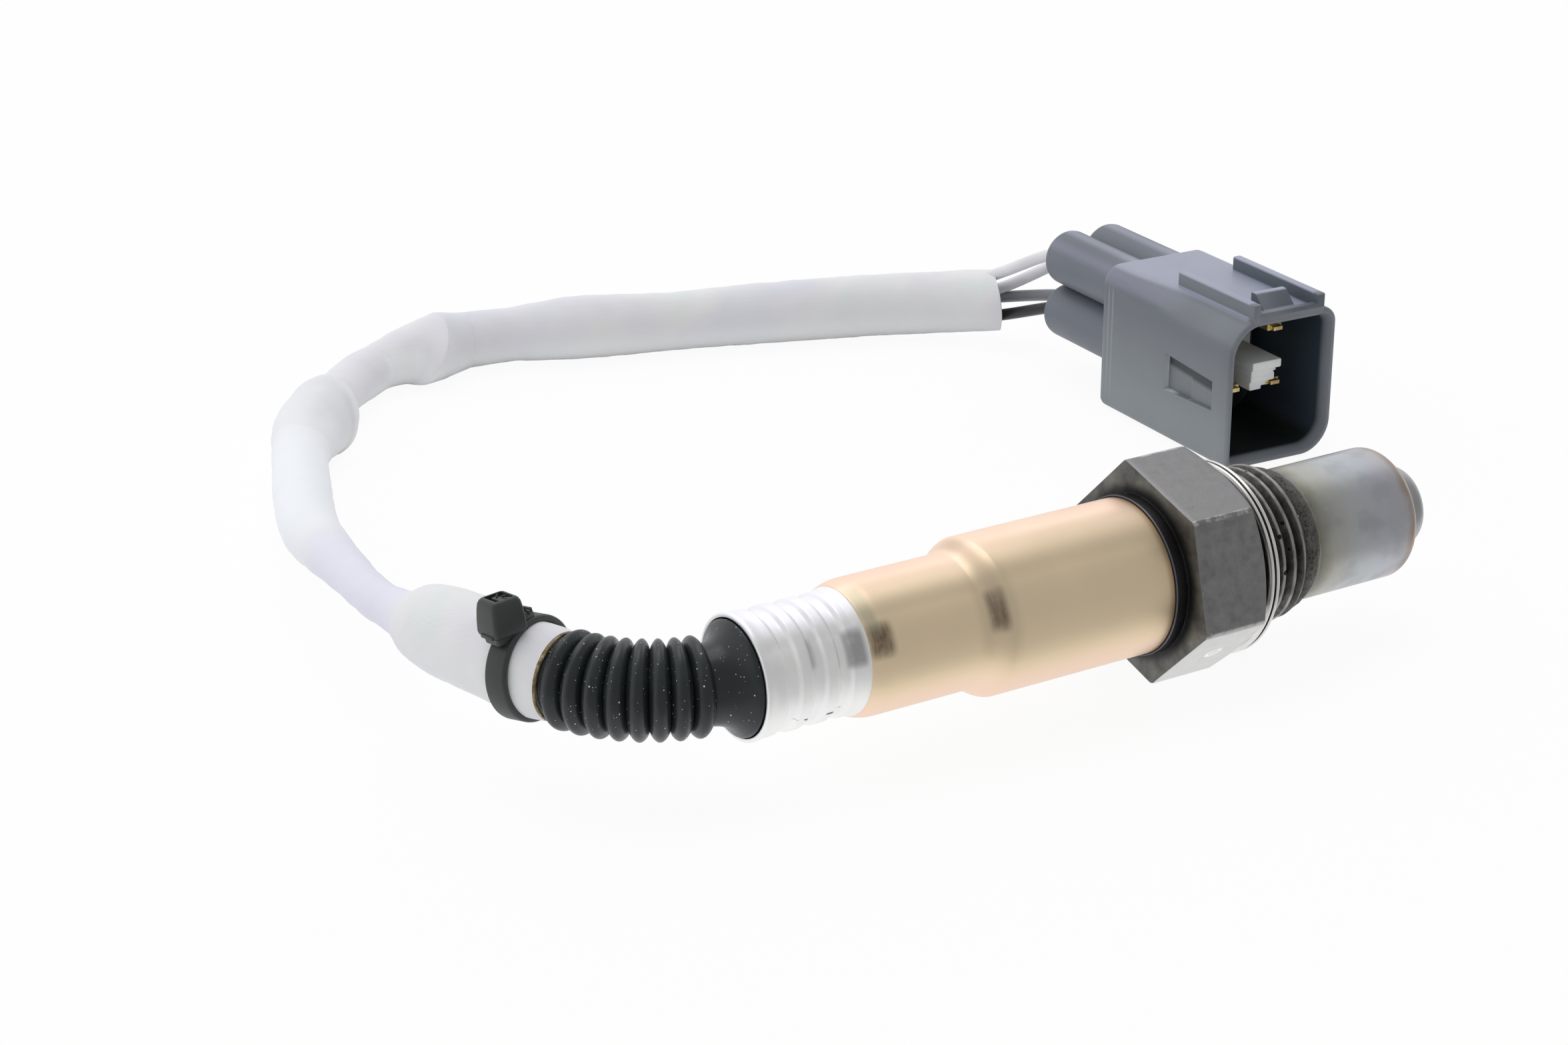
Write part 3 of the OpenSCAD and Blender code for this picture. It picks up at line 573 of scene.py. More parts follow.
@dataclass(frozen=True)
class TubeSteel(Finish):
    """Drawn tube with the heat tints of its weld."""

    def dress(self, paint: Paint) -> None:
        """Lays the tints along the axis."""
        along, _, _, unrolled = paint.axis()
        wander = paint.product(paint.math("SUBTRACT", paint.grain(0.25, 4.0), 0.5), 2.0)
        spot = paint.math("DIVIDE", paint.math("SUBTRACT", paint.total(along, wander), 23.0), 22.0)
        bead = paint.between(along, 25.7, 26.3, 1.0, 0.0)
        cloudy = paint.grain(0.3)
        paint.base = paint.ramp(
            spot, (0.04, (0.11, 0.107, 0.1)), (0.13, (0.12, 0.112, 0.095)), (0.17, (0.24, 0.235, 0.19)),
            (0.25, (0.42, 0.415, 0.375)), (0.42, (0.47, 0.49, 0.5)), (0.6, (0.46, 0.475, 0.52)),
            (0.74, (0.46, 0.455, 0.48)), (0.79, (0.36, 0.28, 0.22)), (0.83, (0.46, 0.44, 0.44)),
            (0.9, (0.4, 0.4, 0.41)))
        paint.coats(((0.05, 0.047, 0.045), paint.specks(3.4, 0.5, 0.6), bead),
                    ((0.25, 0.27, 0.31), paint.between(cloudy, 0.45, 0.7, 0.0, 0.3)))
        lumps = paint.product(paint.grain(2.4, 5.0, 0.7), bead)
        paint.link(paint.total(paint.between(cloudy, 0.3, 0.7, 0.3, 0.4), paint.product(bead, 0.22)),
                   paint.bump(lumps, 1.0, 0.35, paint.bump(paint.cloud(unrolled, 3.0), 0.1, 0.02)))


@dataclass(frozen=True)
class RingSteel(Finish):
    """Bright sheet of the folded ring, with painted shade in its fold."""

    def dress(self, paint: Paint) -> None:
        """Paints shade into the fold and clouds the sheet slightly."""
        x, y, z = paint.split(paint.place())
        reach = paint.length(paint.math("SUBTRACT", z, AXIS_Z + GASKET_LIFT), y)
        paint.base = paint.ramp(paint.grain(0.6), (0.35, scaled(self.colour, 0.93)), (0.65, self.colour))
        # painted shade in the ring's fold
        paint.coats(((0.06, 0.055, 0.05), paint.between(reach, 10.98, 10.84), paint.band(x, 16.75, 17.4, 0.1)))
        paint.link(None, paint.bump(paint.grain(2.0, 2.0), 0.08, 0.03))


@dataclass(frozen=True)
class StrawSteel(Finish):
    """Straw-coloured drawn sleeve with painted reflection: khaki on its front, peach above and below."""

    def dress(self, paint: Paint) -> None:
        """Paints reflection by turn about the axis, painted shade on the upper front and painted reflection bands at
        the step, and brown rubbed marks at the step and at the narrow end.
        """
        along, _, turn, _ = paint.axis()
        between, band, spot = paint.between, paint.band, paint.round_spot
        slow = paint.grain(0.09)
        khaki = paint.ramp(slow, (0.35, (0.88, 0.72, 0.5)), (0.65, (0.92, 0.75, 0.52)))
        peach = paint.ramp(slow, (0.35, (0.98, 0.72, 0.57)), (0.65, (0.96, 0.76, 0.6)))
        worn = paint.product(between(paint.grain(0.8), 0.25, 0.55, 0.8, 1.0),
                             between(paint.grain(1.0, 2.0, stretch=(3.4, 0.3, 0.3)), 0.3, 0.65, 0.8, 1.0))
        # painted reflection: khaki where the front faces the dim surroundings, peach above and below where it faces the
        # bright ones
        paint.base = paint.blend(spot(turn, 158.0, 46.0, 18.0), peach, khaki)
        paint.coats(
            # painted shade dimming the upper front
            ((0.46, 0.375, 0.265), spot(turn, 114.0, 14.0, 9.0), 0.5),
            ((0.45, 0.27, 0.12), between(along, 4.2, 5.15), 0.7),
            ((0.13, 0.085, 0.065), band(along, -17.9, -16.2, 0.5), spot(turn, 152.0, 14.0, 6.0), worn),
            ((0.16, 0.105, 0.07), band(along, -32.4, -29.9, 0.7), spot(turn, 152.0, 11.0, 7.0), worn, 0.95),
            ((0.4, 0.4, 0.3), band(along, -32.4, -31.0, 0.4), spot(turn, 122.0, 22.0, 8.0), 0.5),
            # painted reflection: this band and the next lie on the step's curve
            ((0.55, 0.42, 0.31), band(along, -17.6, -16.3, 0.5), spot(turn, 105.0, 38.0, 14.0), 0.55),
            ((0.5, 0.42, 0.3), band(along, -19.0, -15.0, 0.8), spot(turn, 150.0, 34.0, 14.0), 0.3))
        paint.link(between(slow, 0.3, 0.7, 0.4, 0.46), paint.bump(paint.grain(0.12, 2.0), 0.12, 0.4))


@dataclass(frozen=True)
class CollarSteel(Finish):
    """Bright pressed collar with painted reflections, a bluish top, a grey band and soft grey patches, and dark flecks.
    """

    def dress(self, paint: Paint) -> None:
        """Painted reflection patches on two plain bands, dark dashes below."""
        along, _, turn, unrolled = paint.axis()
        between, band, spot = paint.between, paint.band, paint.round_spot
        slow = paint.grain(0.35)
        uneven = between(paint.grain(0.7), 0.25, 0.6, 0.82, 1.0)
        dashes = between(paint.grain(1.3, 1.0, stretch=(1.1, 0.4, 0.4)), 0.5, 0.54)
        rows = paint.math("MAXIMUM", band(along, -37.2, -35.4, 0.2), band(along, -41.2, -39.4, 0.2))
        paint.base = paint.ramp(slow, (0.35, (0.94, 0.94, 0.94)), (0.65, (0.99, 0.99, 0.985)))
        paint.coats(
            # painted reflection: the bluish top and the grey band below it
            ((0.91, 0.91, 0.97), spot(turn, 95.0, 22.0, 16.0)),
            ((0.6, 0.6, 0.61), spot(turn, 118.0, 14.0, 9.0), 0.4),
            # painted reflection: the soft grey patches
            ((0.3, 0.3, 0.31), band(along, -35.0, -32.9, 0.4), spot(turn, 153.0, 16.0, 5.0), uneven, 0.75),
            ((0.35, 0.35, 0.36), band(along, -39.5, -38.7, 0.35), spot(turn, 148.0, 12.0, 6.0), uneven, 0.5),
            ((0.1, 0.1, 0.08), dashes, rows, spot(turn, 214.5, 1.2, 0.8)))
        scored = paint.cloud(unrolled, 2.2, 4.0, 0.6)
        paint.link(between(slow, 0.35, 0.65, 0.46, 0.54),
                   paint.bump(scored, 0.08, 0.04, paint.bump(paint.grain(0.5, 2.0), 0.15, 0.12)))


@dataclass(frozen=True)
class RubberFinish(Finish):
    """Satin dark rubber with dust specks."""

    dust: float = 0.25
    skin: float = 0.0

    def dress(self, paint: Paint) -> None:
        """Dust, haze and moulding grain."""
        haze = paint.grain(0.35, 4.0)
        dust = paint.specks(1.3, 0.1, self.dust)
        fine = paint.specks(3.1, 0.13, self.dust * 0.6)
        paint.base = self.colour
        paint.coats((scaled(self.colour, 2.0, 0.006), paint.between(haze, 0.45, 0.75, 0.0, 0.3)),
                    ((0.68, 0.7, 0.7), paint.math("MAXIMUM", dust, fine), 0.85))
        paint.link(paint.between(haze, 0.3, 0.7, self.roughness - 0.06, self.roughness + 0.08),
                   paint.bump(dust, 0.6, 0.04, paint.bump(paint.grain(3.0, 4.0, 0.6), 0.25, 0.04)))
        set_plain(paint.shader, Specular_IOR_Level=0.32, Coat_Weight=self.skin, Coat_Roughness=0.2,
                  Coat_Tint=(0.86, 0.92, 1.0, 1.0))


@dataclass(frozen=True)
class WovenGlass(Finish):
    """White glass-fibre sleeving: fine weave, soft sheen, faint lilac cast."""

    def dress(self, paint: Paint) -> None:
        """Weave bump over slow colour changes, with painted light: palest on the stretch that turns back at the left,
        on the low parts and beside the second fold, and painted lilac shade on the far-left bend.
        """
        x, y, z = paint.split(paint.place())
        between, band = paint.between, paint.band
        # painted light from below on the low parts
        low_parts_painted_light = paint.math("MAXIMUM", between(z, 5.0, 1.0),
                               paint.product(between(z, 10.5, 7.5), between(y, 36.0, 30.0)))
        paint.base = paint.ramp(paint.grain(0.07, 2.0), (0.35, (0.81, 0.81, 0.88)), (0.55, (0.86, 0.86, 0.87)),
                                (0.7, (0.82, 0.87, 0.86)))
        paint.coats(
            # painted light on the stretch that turns back at the left
            ((0.93, 0.96, 1.0), band(y, 60.0, 106.0, 13.0), between(x, -26.0, -44.0)),
            ((0.96, 0.98, 0.99), low_parts_painted_light, 0.9),
            # painted light on the low side beside the second fold
            ((0.97, 0.98, 1.0), band(x, -24.0, -18.2, 1.2), between(z, 7.0, 4.5), between(y, 115.0, 118.0)),
            # painted lilac shade on the far-left bend
            ((0.82, 0.82, 0.95), band(y, 33.0, 60.0, 5.0), between(x, -50.0, -56.0), 0.8))
        weave = paint.shared(paint.groups.weave, Vector=paint.place(), Threads=6.0).outputs[0]
        paint.link(None, paint.bump(weave, 0.12, 0.05, paint.bump(paint.grain(0.35), 0.2, 0.25)))
        set_plain(paint.shader, Sheen_Weight=0.25, Sheen_Roughness=0.5, Sheen_Tint=(0.9, 0.9, 1.0, 1.0),
                  Specular_IOR_Level=0.25)


@dataclass(frozen=True)
class Moulded(Finish):
    """Matt moulded plastic with fine spark-eroded grain."""

    grain: float = 0.3

    def dress(self, paint: Paint) -> None:
        """Grain, slow tone changes and a few scuffs."""
        tone = paint.grain(0.16, 4.0)
        paint.base = scaled(self.colour, 0.95)
        paint.coats((scaled(self.colour, 1.06), paint.between(tone, 0.35, 0.7)),
                    (scaled(self.colour, 1.6, 0.05), paint.specks(0.7, 0.06, 0.16, (1.0, 0.3, 1.0)), 0.35))
        paint.link(paint.between(tone, 0.3, 0.7, self.roughness - 0.05, self.roughness + 0.05),
                   paint.bump(paint.grain(4.0, 4.0, 0.6), self.grain, 0.04))


@dataclass(frozen=True)
class PlugPlastic(Moulded):
    """The plug's grey plastic with painted light and shade: painted shade in the mouth, on the upper near side, the
    rails' sides and the ports, a painted shadow in the side pocket, and painted light on the foot, the top and the
    pocket's rims.
    """

    def dress(self, paint: Paint) -> None:
        """Adds painted light and shade in the plug's frame over the moulded plastic."""
        super().dress(paint)
        plug_frame = paint.fed("ShaderNodeMapping", paint.place(), vector_type="TEXTURE")
        set_plain(plug_frame, Location=PLUG_PLACE, Rotation=(0, 0, math.radians(PLUG_TURN)))
        x, y, z = paint.split(plug_frame.outputs[0])
        between, band = paint.between, paint.band
        side = between(x, -8.2, -7.7, 1.0, 0.0)
        rims = paint.math("MAXIMUM", band(y, 26.0, 26.3, 0.1), band(y, 26.9, 27.2, 0.1))
        pocket = paint.product(band(x, -8.33, -7.3, 0.02), band(y, 3.4, 14.1, 0.02), band(z, 6.8, 12.0, 0.02))
        lit_pocket_walls = paint.math("MAXIMUM", between(y, 13.9, 13.98), between(z, 7.02, 6.94))
        below_edge = paint.math("SUBTRACT", z, paint.product(y, POCKET_SLANT))
        mouth = paint.product(band(x, -7.4, 7.4, 0.1), band(y, 1.3, 17.0, 0.5), band(z, 0.95, 18.85, 0.1),
                              between(paint.math("SUBTRACT", z, x), 24.1, 24.6, 1.0, 0.0),
                              between(paint.math("SUBTRACT", x, z), 4.5, 5.2, 1.0, 0.0))
        # painted shade on the rails' sides, darker on the far rail
        upright = paint.blend(between(x, -1.8, 2.5), (0.165, 0.185, 0.215), (0.1, 0.12, 0.145))
        # painted shade in the mouth, near black, a little lighter on its far wall
        inner = paint.blend(between(x, 5.6, 7.2), (0.014, 0.019, 0.019), (0.04, 0.058, 0.08))
        paint.coats(
            # painted light on the foot of the near side
            ((0.235, 0.262, 0.285), side, between(z, 12.0, 2.0)),
            # painted shade on the upper near side
            ((0.135, 0.153, 0.178), side, between(z, 10.0, 16.0), 0.75),
            # painted shade on the ports
            ((0.135, 0.15, 0.185), between(y, 28.6, 28.9), 0.75),
            # painted light on the top
            ((0.39, 0.41, 0.52), between(z, 19.3, 19.7), between(y, 0.6, 1.4), 0.85),
            # painted shade on the rails' sides
            (upright, band(z, 20.0, 21.6, 0.1)),
            # painted highlight on the rear half of the near top corner
            ((0.24, 0.25, 0.33), band(z, 17.7, 19.4, 0.5), between(x, -5.0, -6.0), between(y, 10.0, 18.0), 0.6),
            ((0.29, 0.32, 0.35), side, rims, band(z, 2.0, 17.0, 1.0), 0.6),
            # painted light on the pocket's walls
            ((0.6, 0.64, 0.68), pocket, lit_pocket_walls),
            # painted shadow under the pocket's upper edge
            ((0.022, 0.028, 0.036), pocket, between(below_edge, 9.0, 9.75), between(y, 13.98, 13.6), 0.95),
            # painted highlight on the pocket's step
            ((0.36, 0.39, 0.42), pocket, band(y, 8.45, 8.75, 0.08), between(z, 10.8, 9.6), 0.7),
            # painted shade in the mouth
            (inner, mouth))
        paint.link()
        # specular lowered in the mouth as painted shade
        paint.put(paint.shader.inputs["Specular IOR Level"], between(mouth, 0.0, 1.0, 0.5, 0.12))


@dataclass(frozen=True)
class GlueFinish(Finish):
    """Tan line of adhesive between boot and sleeve."""

    def dress(self, paint: Paint) -> None:
        """Uneven brown."""
        paint.base = paint.ramp(paint.grain(1.4, 4.0), (0.35, (0.07, 0.05, 0.025)), (0.52, (0.26, 0.18, 0.07)),
                                (0.7, (0.48, 0.4, 0.22)))
        paint.link(None, paint.bump(paint.grain(2.5, 4.0), 0.7, 0.15))


@dataclass(frozen=True)
class ContactBrass(Finish):
    """Plated brass, slightly dulled."""

    def dress(self, paint: Paint) -> None:
        """Dull patches and roll marks."""
        dull = paint.grain(0.8, 4.0)
        paint.base = paint.ramp(dull, (0.35, (0.5, 0.38, 0.17)), (0.6, (0.78, 0.62, 0.3)), (0.75, (0.85, 0.72, 0.42)))
        paint.link(paint.between(dull, 0.3, 0.7, 0.42, 0.28),
                   paint.bump(paint.grain(1.5, stretch=(4, 0.4, 4)), 0.15, 0.02))


class Finishes:
    """All finishes of the part, made once."""

    def __init__(self) -> None:
        """Builds every material."""
        groups = Shared()
        self.kinds = {
            "shell": ShellSteel("shell_steel", Slot.DARK_STEEL, (0.26, 0.25, 0.27), 1.0, 0.45),
            "gasket": RingSteel("gasket_steel", Slot.BRIGHT_STEEL, (0.8, 0.79, 0.77), 1.0, 0.24),
            "tube": TubeSteel("tube_steel", Slot.TUBE_STEEL, (0.5, 0.5, 0.52), 1.0, 0.32),
            "straw": StrawSteel("straw_steel", Slot.TINTED_STEEL, (0.85, 0.71, 0.5), 1.0, 0.3),
            "collar": CollarSteel("collar_steel", Slot.BRIGHT_STEEL, (0.92, 0.92, 0.91), 1.0, 0.42),
            "boot": RubberFinish("boot_rubber", Slot.BOOT_RUBBER, (0.011, 0.0155, 0.015), 0.0, 0.42, 0.5, 0.3),
            "grommet": RubberFinish("grommet_rubber", Slot.BOOT_RUBBER, (0.03, 0.03, 0.03), 0.0, 0.6, 0.05),
            "seal": RubberFinish("seal_rubber", Slot.SEAL_RUBBER, (0.05, 0.075, 0.12), 0.0, 0.5, 0.03),
            "glue": GlueFinish("glue_line", Slot.BOOT_RUBBER, (0.25, 0.18, 0.07), 0.0, 0.5),
            "woven": WovenGlass("woven_glass", Slot.WOVEN_WHITE, (0.82, 0.82, 0.86), 0.0, 0.75),
            "tie": Moulded("tie_nylon", Slot.TIE_NYLON, (0.03, 0.039, 0.036), 0.0, 0.45, 0.2),
            "white_wire": Moulded("white_insulation", Slot.WHITE_INSULATION, (0.8, 0.8, 0.84), 0.0, 0.38, 0.1),
            "grey_wire": Moulded("grey_insulation", Slot.GREY_INSULATION, (0.3, 0.31, 0.34), 0.0, 0.4, 0.1),
            "black_wire": Moulded("black_insulation", Slot.BLACK_INSULATION, (0.012, 0.012, 0.016), 0.0, 0.35, 0.1),
            "plug": PlugPlastic("plug_plastic", Slot.GREY_PLASTIC, (0.18, 0.2, 0.225), 0.0, 0.5, 0.3),
            "retainer": Moulded("retainer_plastic", Slot.WHITE_PLASTIC, (0.86, 0.88, 0.88), 0.0, 0.4, 0.1),
            "brass": ContactBrass("contact_brass", Slot.CONTACT_METAL, (0.75, 0.6, 0.3), 1.0, 0.35),
            "ceramic": Finish("ceramic", Slot.CERAMIC, (0.84, 0.82, 0.78), 0.0, 0.6),
            "spring": Finish("spring_steel", Slot.BRIGHT_STEEL, (0.6, 0.6, 0.61), 1.0, 0.3),
        }
        self.made = {key: kind.make(groups) for key, kind in self.kinds.items()}


class Bench:
    """Turns meshes into pieces on the frame."""

    def __init__(self, finishes: Finishes) -> None:
        """Keeps the finishes."""
        self.finishes = finishes
        self.pieces: dict[str, bpy.types.Object] = {}

    def piece(self, name: str, bm: BMesh, finish: str, *nodes: str, sharp: float = 32.0
              ) -> bpy.types.Object:
        """Makes a piece that rides on the body.

        Args:
            name: the piece's name.
            bm: its mesh, which is used up.
            finish: name of its finish.
            nodes: CAD nodes that it stands for.
            sharp: angle in degrees above which an edge stays sharp.

        Returns:
            The new object.
        """
        bmesh.ops.remove_doubles(bm, verts=bm.verts, dist=SEAM)
        bmesh.ops.recalc_face_normals(bm, faces=bm.faces)
        obj = meshed(name, bm)
        mesh = obj.data
        mesh.shade_smooth()
        mesh.set_sharp_from_angle(angle=math.radians(sharp))
        mesh.materials.append(self.finishes.made[finish])
        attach(obj, "root")
        if nodes:
            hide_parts(*nodes)
        self.pieces[name] = obj
        LOG.info("%s: %d faces", name, len(mesh.polygons))
        return obj

    def dress_node(self, node: str, finish: str) -> None:
        """Gives a CAD node that stays its finish."""
        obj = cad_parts[node]
        if not obj.material_slots:
            obj.data.materials.append(None)
        for slot in obj.material_slots:
            slot.material = self.finishes.made[finish]
        LOG.info("%s: dressed", node)


# Sub-assemblies


@dataclass
class Shell:
    """Steel shell: hexagon, lip round the sleeve, undercut and thread."""

    across_flats: float = 22.0
    turn: float = 14.5
    face_x: float = 6.9
    seat_x: float = 15.9
    lip_x: float = 5.2
    lip_r: float = 9.03
    groove_r: float = 8.0
    thread_r: float = 9.0
    thread_x0: float = 17.5
    thread_x1: float = 23.3
    end_x: float = 26.9
    pitch: float = 1.5
    thread_depth: float = 0.85
    columns: int = 360
    thread_steps: int = 130
    root_share: float = 0.14
    flank_share: float = 0.66
    corner_break: float = 0.12
    chamfer_r: float = 10.85
    cup_r: float = 8.2
    spigot_r: float = 7.08
    bore_r: float = 6.0
    tip_bore_r: float = 4.6
    dimple_x: float = 11.8
    dimple: Sequence[Pair] = ((-0.02, 0.72), (0.03, 0.68), (0.05, 0.55), (0.06, 0.3), (0.06, 0.08))

    def corner(self) -> float:
        """Angle of the hexagon's first corner."""
        return math.radians(-90 - self.turn)

    def flat_distance(self, angle: float) -> float:
        """Distance of the hexagon's surface from the axis, with slightly broken corners."""
        off = (angle - self.corner() + math.pi / 6) % (math.pi / 3) - math.pi / 6
        half = self.across_flats / 2
        sharp = half / math.cos(math.pi / 6 - abs(off))
        return min(sharp, half / math.cos(math.pi / 6) - self.corner_break)

    def thread_at(self, x: float, angle: float) -> float:
        """Radius of the thread, running out at both ends."""
        phase = (x / self.pitch - angle / math.tau) % 1.0
        rise = abs(phase - 0.5) * 2
        height = min(max((rise - self.root_share) / self.flank_share, 0.0), 1.0)
        depth = self.thread_depth * (1 - height) * ease((x - self.thread_x0 + 0.1) / 0.5)
        crest = self.thread_r - 0.7 * ease((x - self.thread_x1 + 0.2) / 0.7)
        return crest - depth * ease((self.thread_x1 + 0.5 - x) / 0.6)

    def column(self, angle: float) -> list[Pair]:
        """Closed outline of (x, radius) at one angle."""
        flat = self.flat_distance(angle)
        crease = self.seat_x - 1 + (self.across_flats / 2 / math.cos(math.pi / 6) + 0.1 - flat) / 1.95
        out = [(self.lip_x, 8.8), (self.lip_x, 8.9), (self.lip_x + 0.08, self.lip_r - 0.03),
               (self.lip_x + 0.25, self.lip_r), (self.face_x - 0.02, self.lip_r), (self.face_x, self.lip_r + 0.02),
               (self.face_x, self.lip_r + 0.25), (self.face_x, mix(self.lip_r, flat, 0.5)),
               (self.face_x, flat - 0.2), (self.face_x + 0.05, flat - 0.06), (self.face_x + 0.2, flat)]
        out += [(mix(self.face_x + 0.2, crease - 0.1, k / 14), flat) for k in range(1, 15)]
        chamfer = [(mix(crease, self.seat_x, t), mix(flat, self.chamfer_r, t)) for t in (0.12, 0.5, 0.9)]
        out += [(crease, flat - 0.015)] + chamfer + [(self.seat_x, 10.7), (self.seat_x, 9.4)]
        out += [(self.seat_x, self.groove_r), (self.thread_x0, self.groove_r)]
        turns = [mix(self.thread_x0, self.thread_x1 + 0.6, k / self.thread_steps)
                 for k in range(1, self.thread_steps + 1)]
        out += [(x, self.thread_at(x, angle)) for x in turns]
        out += [(23.9, self.spigot_r), (self.end_x, self.spigot_r), (self.end_x, self.tip_bore_r),
                (21.5, self.tip_bore_r), (20.5, self.bore_r), (1.0, self.bore_r), (1.0, self.cup_r),
                (self.face_x - 0.02, self.cup_r), (self.face_x - 0.02, 8.8)]
        return out

    def build(self, bench: Bench) -> None:
        """Builds the shell as columns round the axis, with the punched dot."""
        bm = bmesh.new()
        angles = [self.corner() + math.tau * k / self.columns for k in range(self.columns)]
        skin(bm, [[Vector((x, r * math.cos(angle), AXIS_Z + r * math.sin(angle))) for x, r in self.column(angle)]
                  for angle in angles], caps=False, loop=True)
        bench.piece("hex_shell_dressed", bm, "shell", "hex_shell", sharp=28)
        self.build_dot(bench)

    def build_dot(self, bench: Bench) -> None:
        """Adds the punched dot as a shallow bright cup on its flat."""
        angle = math.radians(-self.turn - 120)
        out = Vector((0, math.cos(angle), math.sin(angle)))
        middle = Vector((self.dimple_x, 0, AXIS_Z)) + out * (self.across_flats / 2)
        bm = bmesh.new()
        skin(bm, [circle(middle + out * h, out, r, 24) for h, r in self.dimple])
        bench.piece("punched_dot", bm, "gasket", sharp=60)


@dataclass
class Gasket:
    """Loose folded sealing ring on the seat."""

    x0: float = 15.9
    outer: float = 11.05
    inner: float = 9.35
    thick: float = 1.5
    tilt: float = 2.0
    tilt_axis: float = 55.0
    shift: float = 0.39

    def build(self, bench: Bench) -> None:
        """Turns the folded section and lets the loose ring lean off its seat at the top."""
        x, r, t = self.x0, self.outer, self.thick
        bm = bmesh.new()
        turned(bm, rounded([
            (x, self.inner, 0.1), (x, r - 0.4, 0.35), (x + 0.3, r, 0.3), (x + t / 2 - 0.16, r - 0.1, 0.12),
            (x + t / 2, r - 0.95, 0.03), (x + t / 2 + 0.16, r - 0.1, 0.12), (x + t - 0.3, r, 0.3),
            (x + t, r - 0.4, 0.35), (x + t, self.inner, 0.1), (x + t / 2 + 0.2, self.inner, 0.1),
            (x + t / 2, self.inner + 0.8, 0.05), (x + t / 2 - 0.2, self.inner, 0.1)], 3), 144, GASKET_LIFT)
        middle = Vector((self.x0, 0, AXIS_Z + GASKET_LIFT)) * MM
        about = math.radians(self.tilt_axis)
        lean = Matrix.Rotation(math.radians(self.tilt), 4, Vector((0, math.cos(about), math.sin(about))))
        place = Matrix.Translation(middle + Vector((self.shift * MM, 0, 0))) @ lean @ Matrix.Translation(-middle)
        bmesh.ops.transform(bm, matrix=place, verts=bm.verts)
        bench.piece("gasket_ring_dressed", bm, "gasket", "gasket_ring", sharp=50)


@dataclass
class Tubes:
    """Outer protection tube with its weld bead; the inner tube's end stays the CAD node."""

    radius: float = 7.6
    wall: float = 0.5
    start: float = 23.95
    end: float = 41.2
    bend: float = 2.2
    hole: float = 4.95
    bead: Sequence[Triple] = ((0, 8.25, 0.2), (0.45, 8.32, 0.3), (1.0, 8.28, 0.2), (1.6, 8.0, 0.3), (2.1, 7.78, 0.2))
    bead_len: float = 2.9
    bead_inner: float = 7.5
    lump: float = 0.11
    fine_to: float = 27.0
    fine_step: float = 0.35

    def build(self, bench: Bench) -> None:
        """Turns the tube, roughens the bead and dresses the inner tube."""
        bm = bmesh.new()
        s, r, w = self.start, self.radius, self.wall
        bead = [(s + x, top, corner) for x, top, corner in self.bead] + [(s + 2.6, r, 0.3)]
        outline = rounded([(s, r - w), *bead, (self.end, r, self.bend), (self.end, self.hole, 0.15),
                           (self.end - w, self.hole, 0.1), (self.end - w, r - w, self.bend - w)], 10)
        turned(bm, divided(outline, lambda one, two: max(1, round(math.dist(one, two) / self.fine_step))
                           if one[1] > self.bead_inner and one[0] < self.fine_to else 1), 200)
        for vert in bm.verts:
            x = vert.co.x / MM
            spoke = Vector((0, vert.co.y, vert.co.z - AXIS_Z * MM))
            if s + 0.1 < x < s + self.bead_len and spoke.length > self.bead_inner * MM:
                rise = noise.fractal(vert.co * 1100, 1.0, 2.0, 3)
                vert.co += spoke.normalized() * rise * self.lump * MM * ease((s + self.bead_len - x) / 1.2)
        bench.piece("outer_tube_dressed", bm, "tube", "outer_protection_tube", sharp=40)
        bench.dress_node("inner_protection_tube", "tube")


@dataclass
class ShieldSleeve:
    """Straw-coloured sleeve with a soft step to its narrow end."""

    wide: float = 8.78
    narrow: float = 7.45
    wall: float = 0.5
    step: Pair = (-18.5, -15.5)
    start: float = 6.88
    end: float = -32.5
    curl: Pair = (2.3, 0.45)
    steps: int = 24
    curl_steps: int = 12

    def build(self, bench: Bench) -> None:
        """Turns the sleeve's sheet."""
        x0, x1 = self.step
        outer = [(self.start, self.wide), (2.0, self.wide), (-8.0, self.wide)]
        shares = [k / self.steps for k in range(self.steps + 1)]
        curl, drop = self.curl
        outer += [(mix(x1, x0, t), mix(self.wide, self.narrow, ease(t))) for t in shares]
        outer += [(self.end + curl * (1 - t), self.narrow - drop * t ** 2)
                  for t in (k / self.curl_steps for k in range(self.curl_steps + 1))]
        inner = [(self.end, self.narrow - self.wall - 0.1)]
        inner += [(mix(x0, x1, t) + 0.1, mix(self.narrow, self.wide, ease(t)) - self.wall) for t in shares]
        inner += [(self.start, self.wide - self.wall)]
        bm = bmesh.new()
        turned(bm, outer + inner, 192)
        bench.piece("shield_sleeve_dressed", bm, "straw", "shield_sleeve", sharp=40)


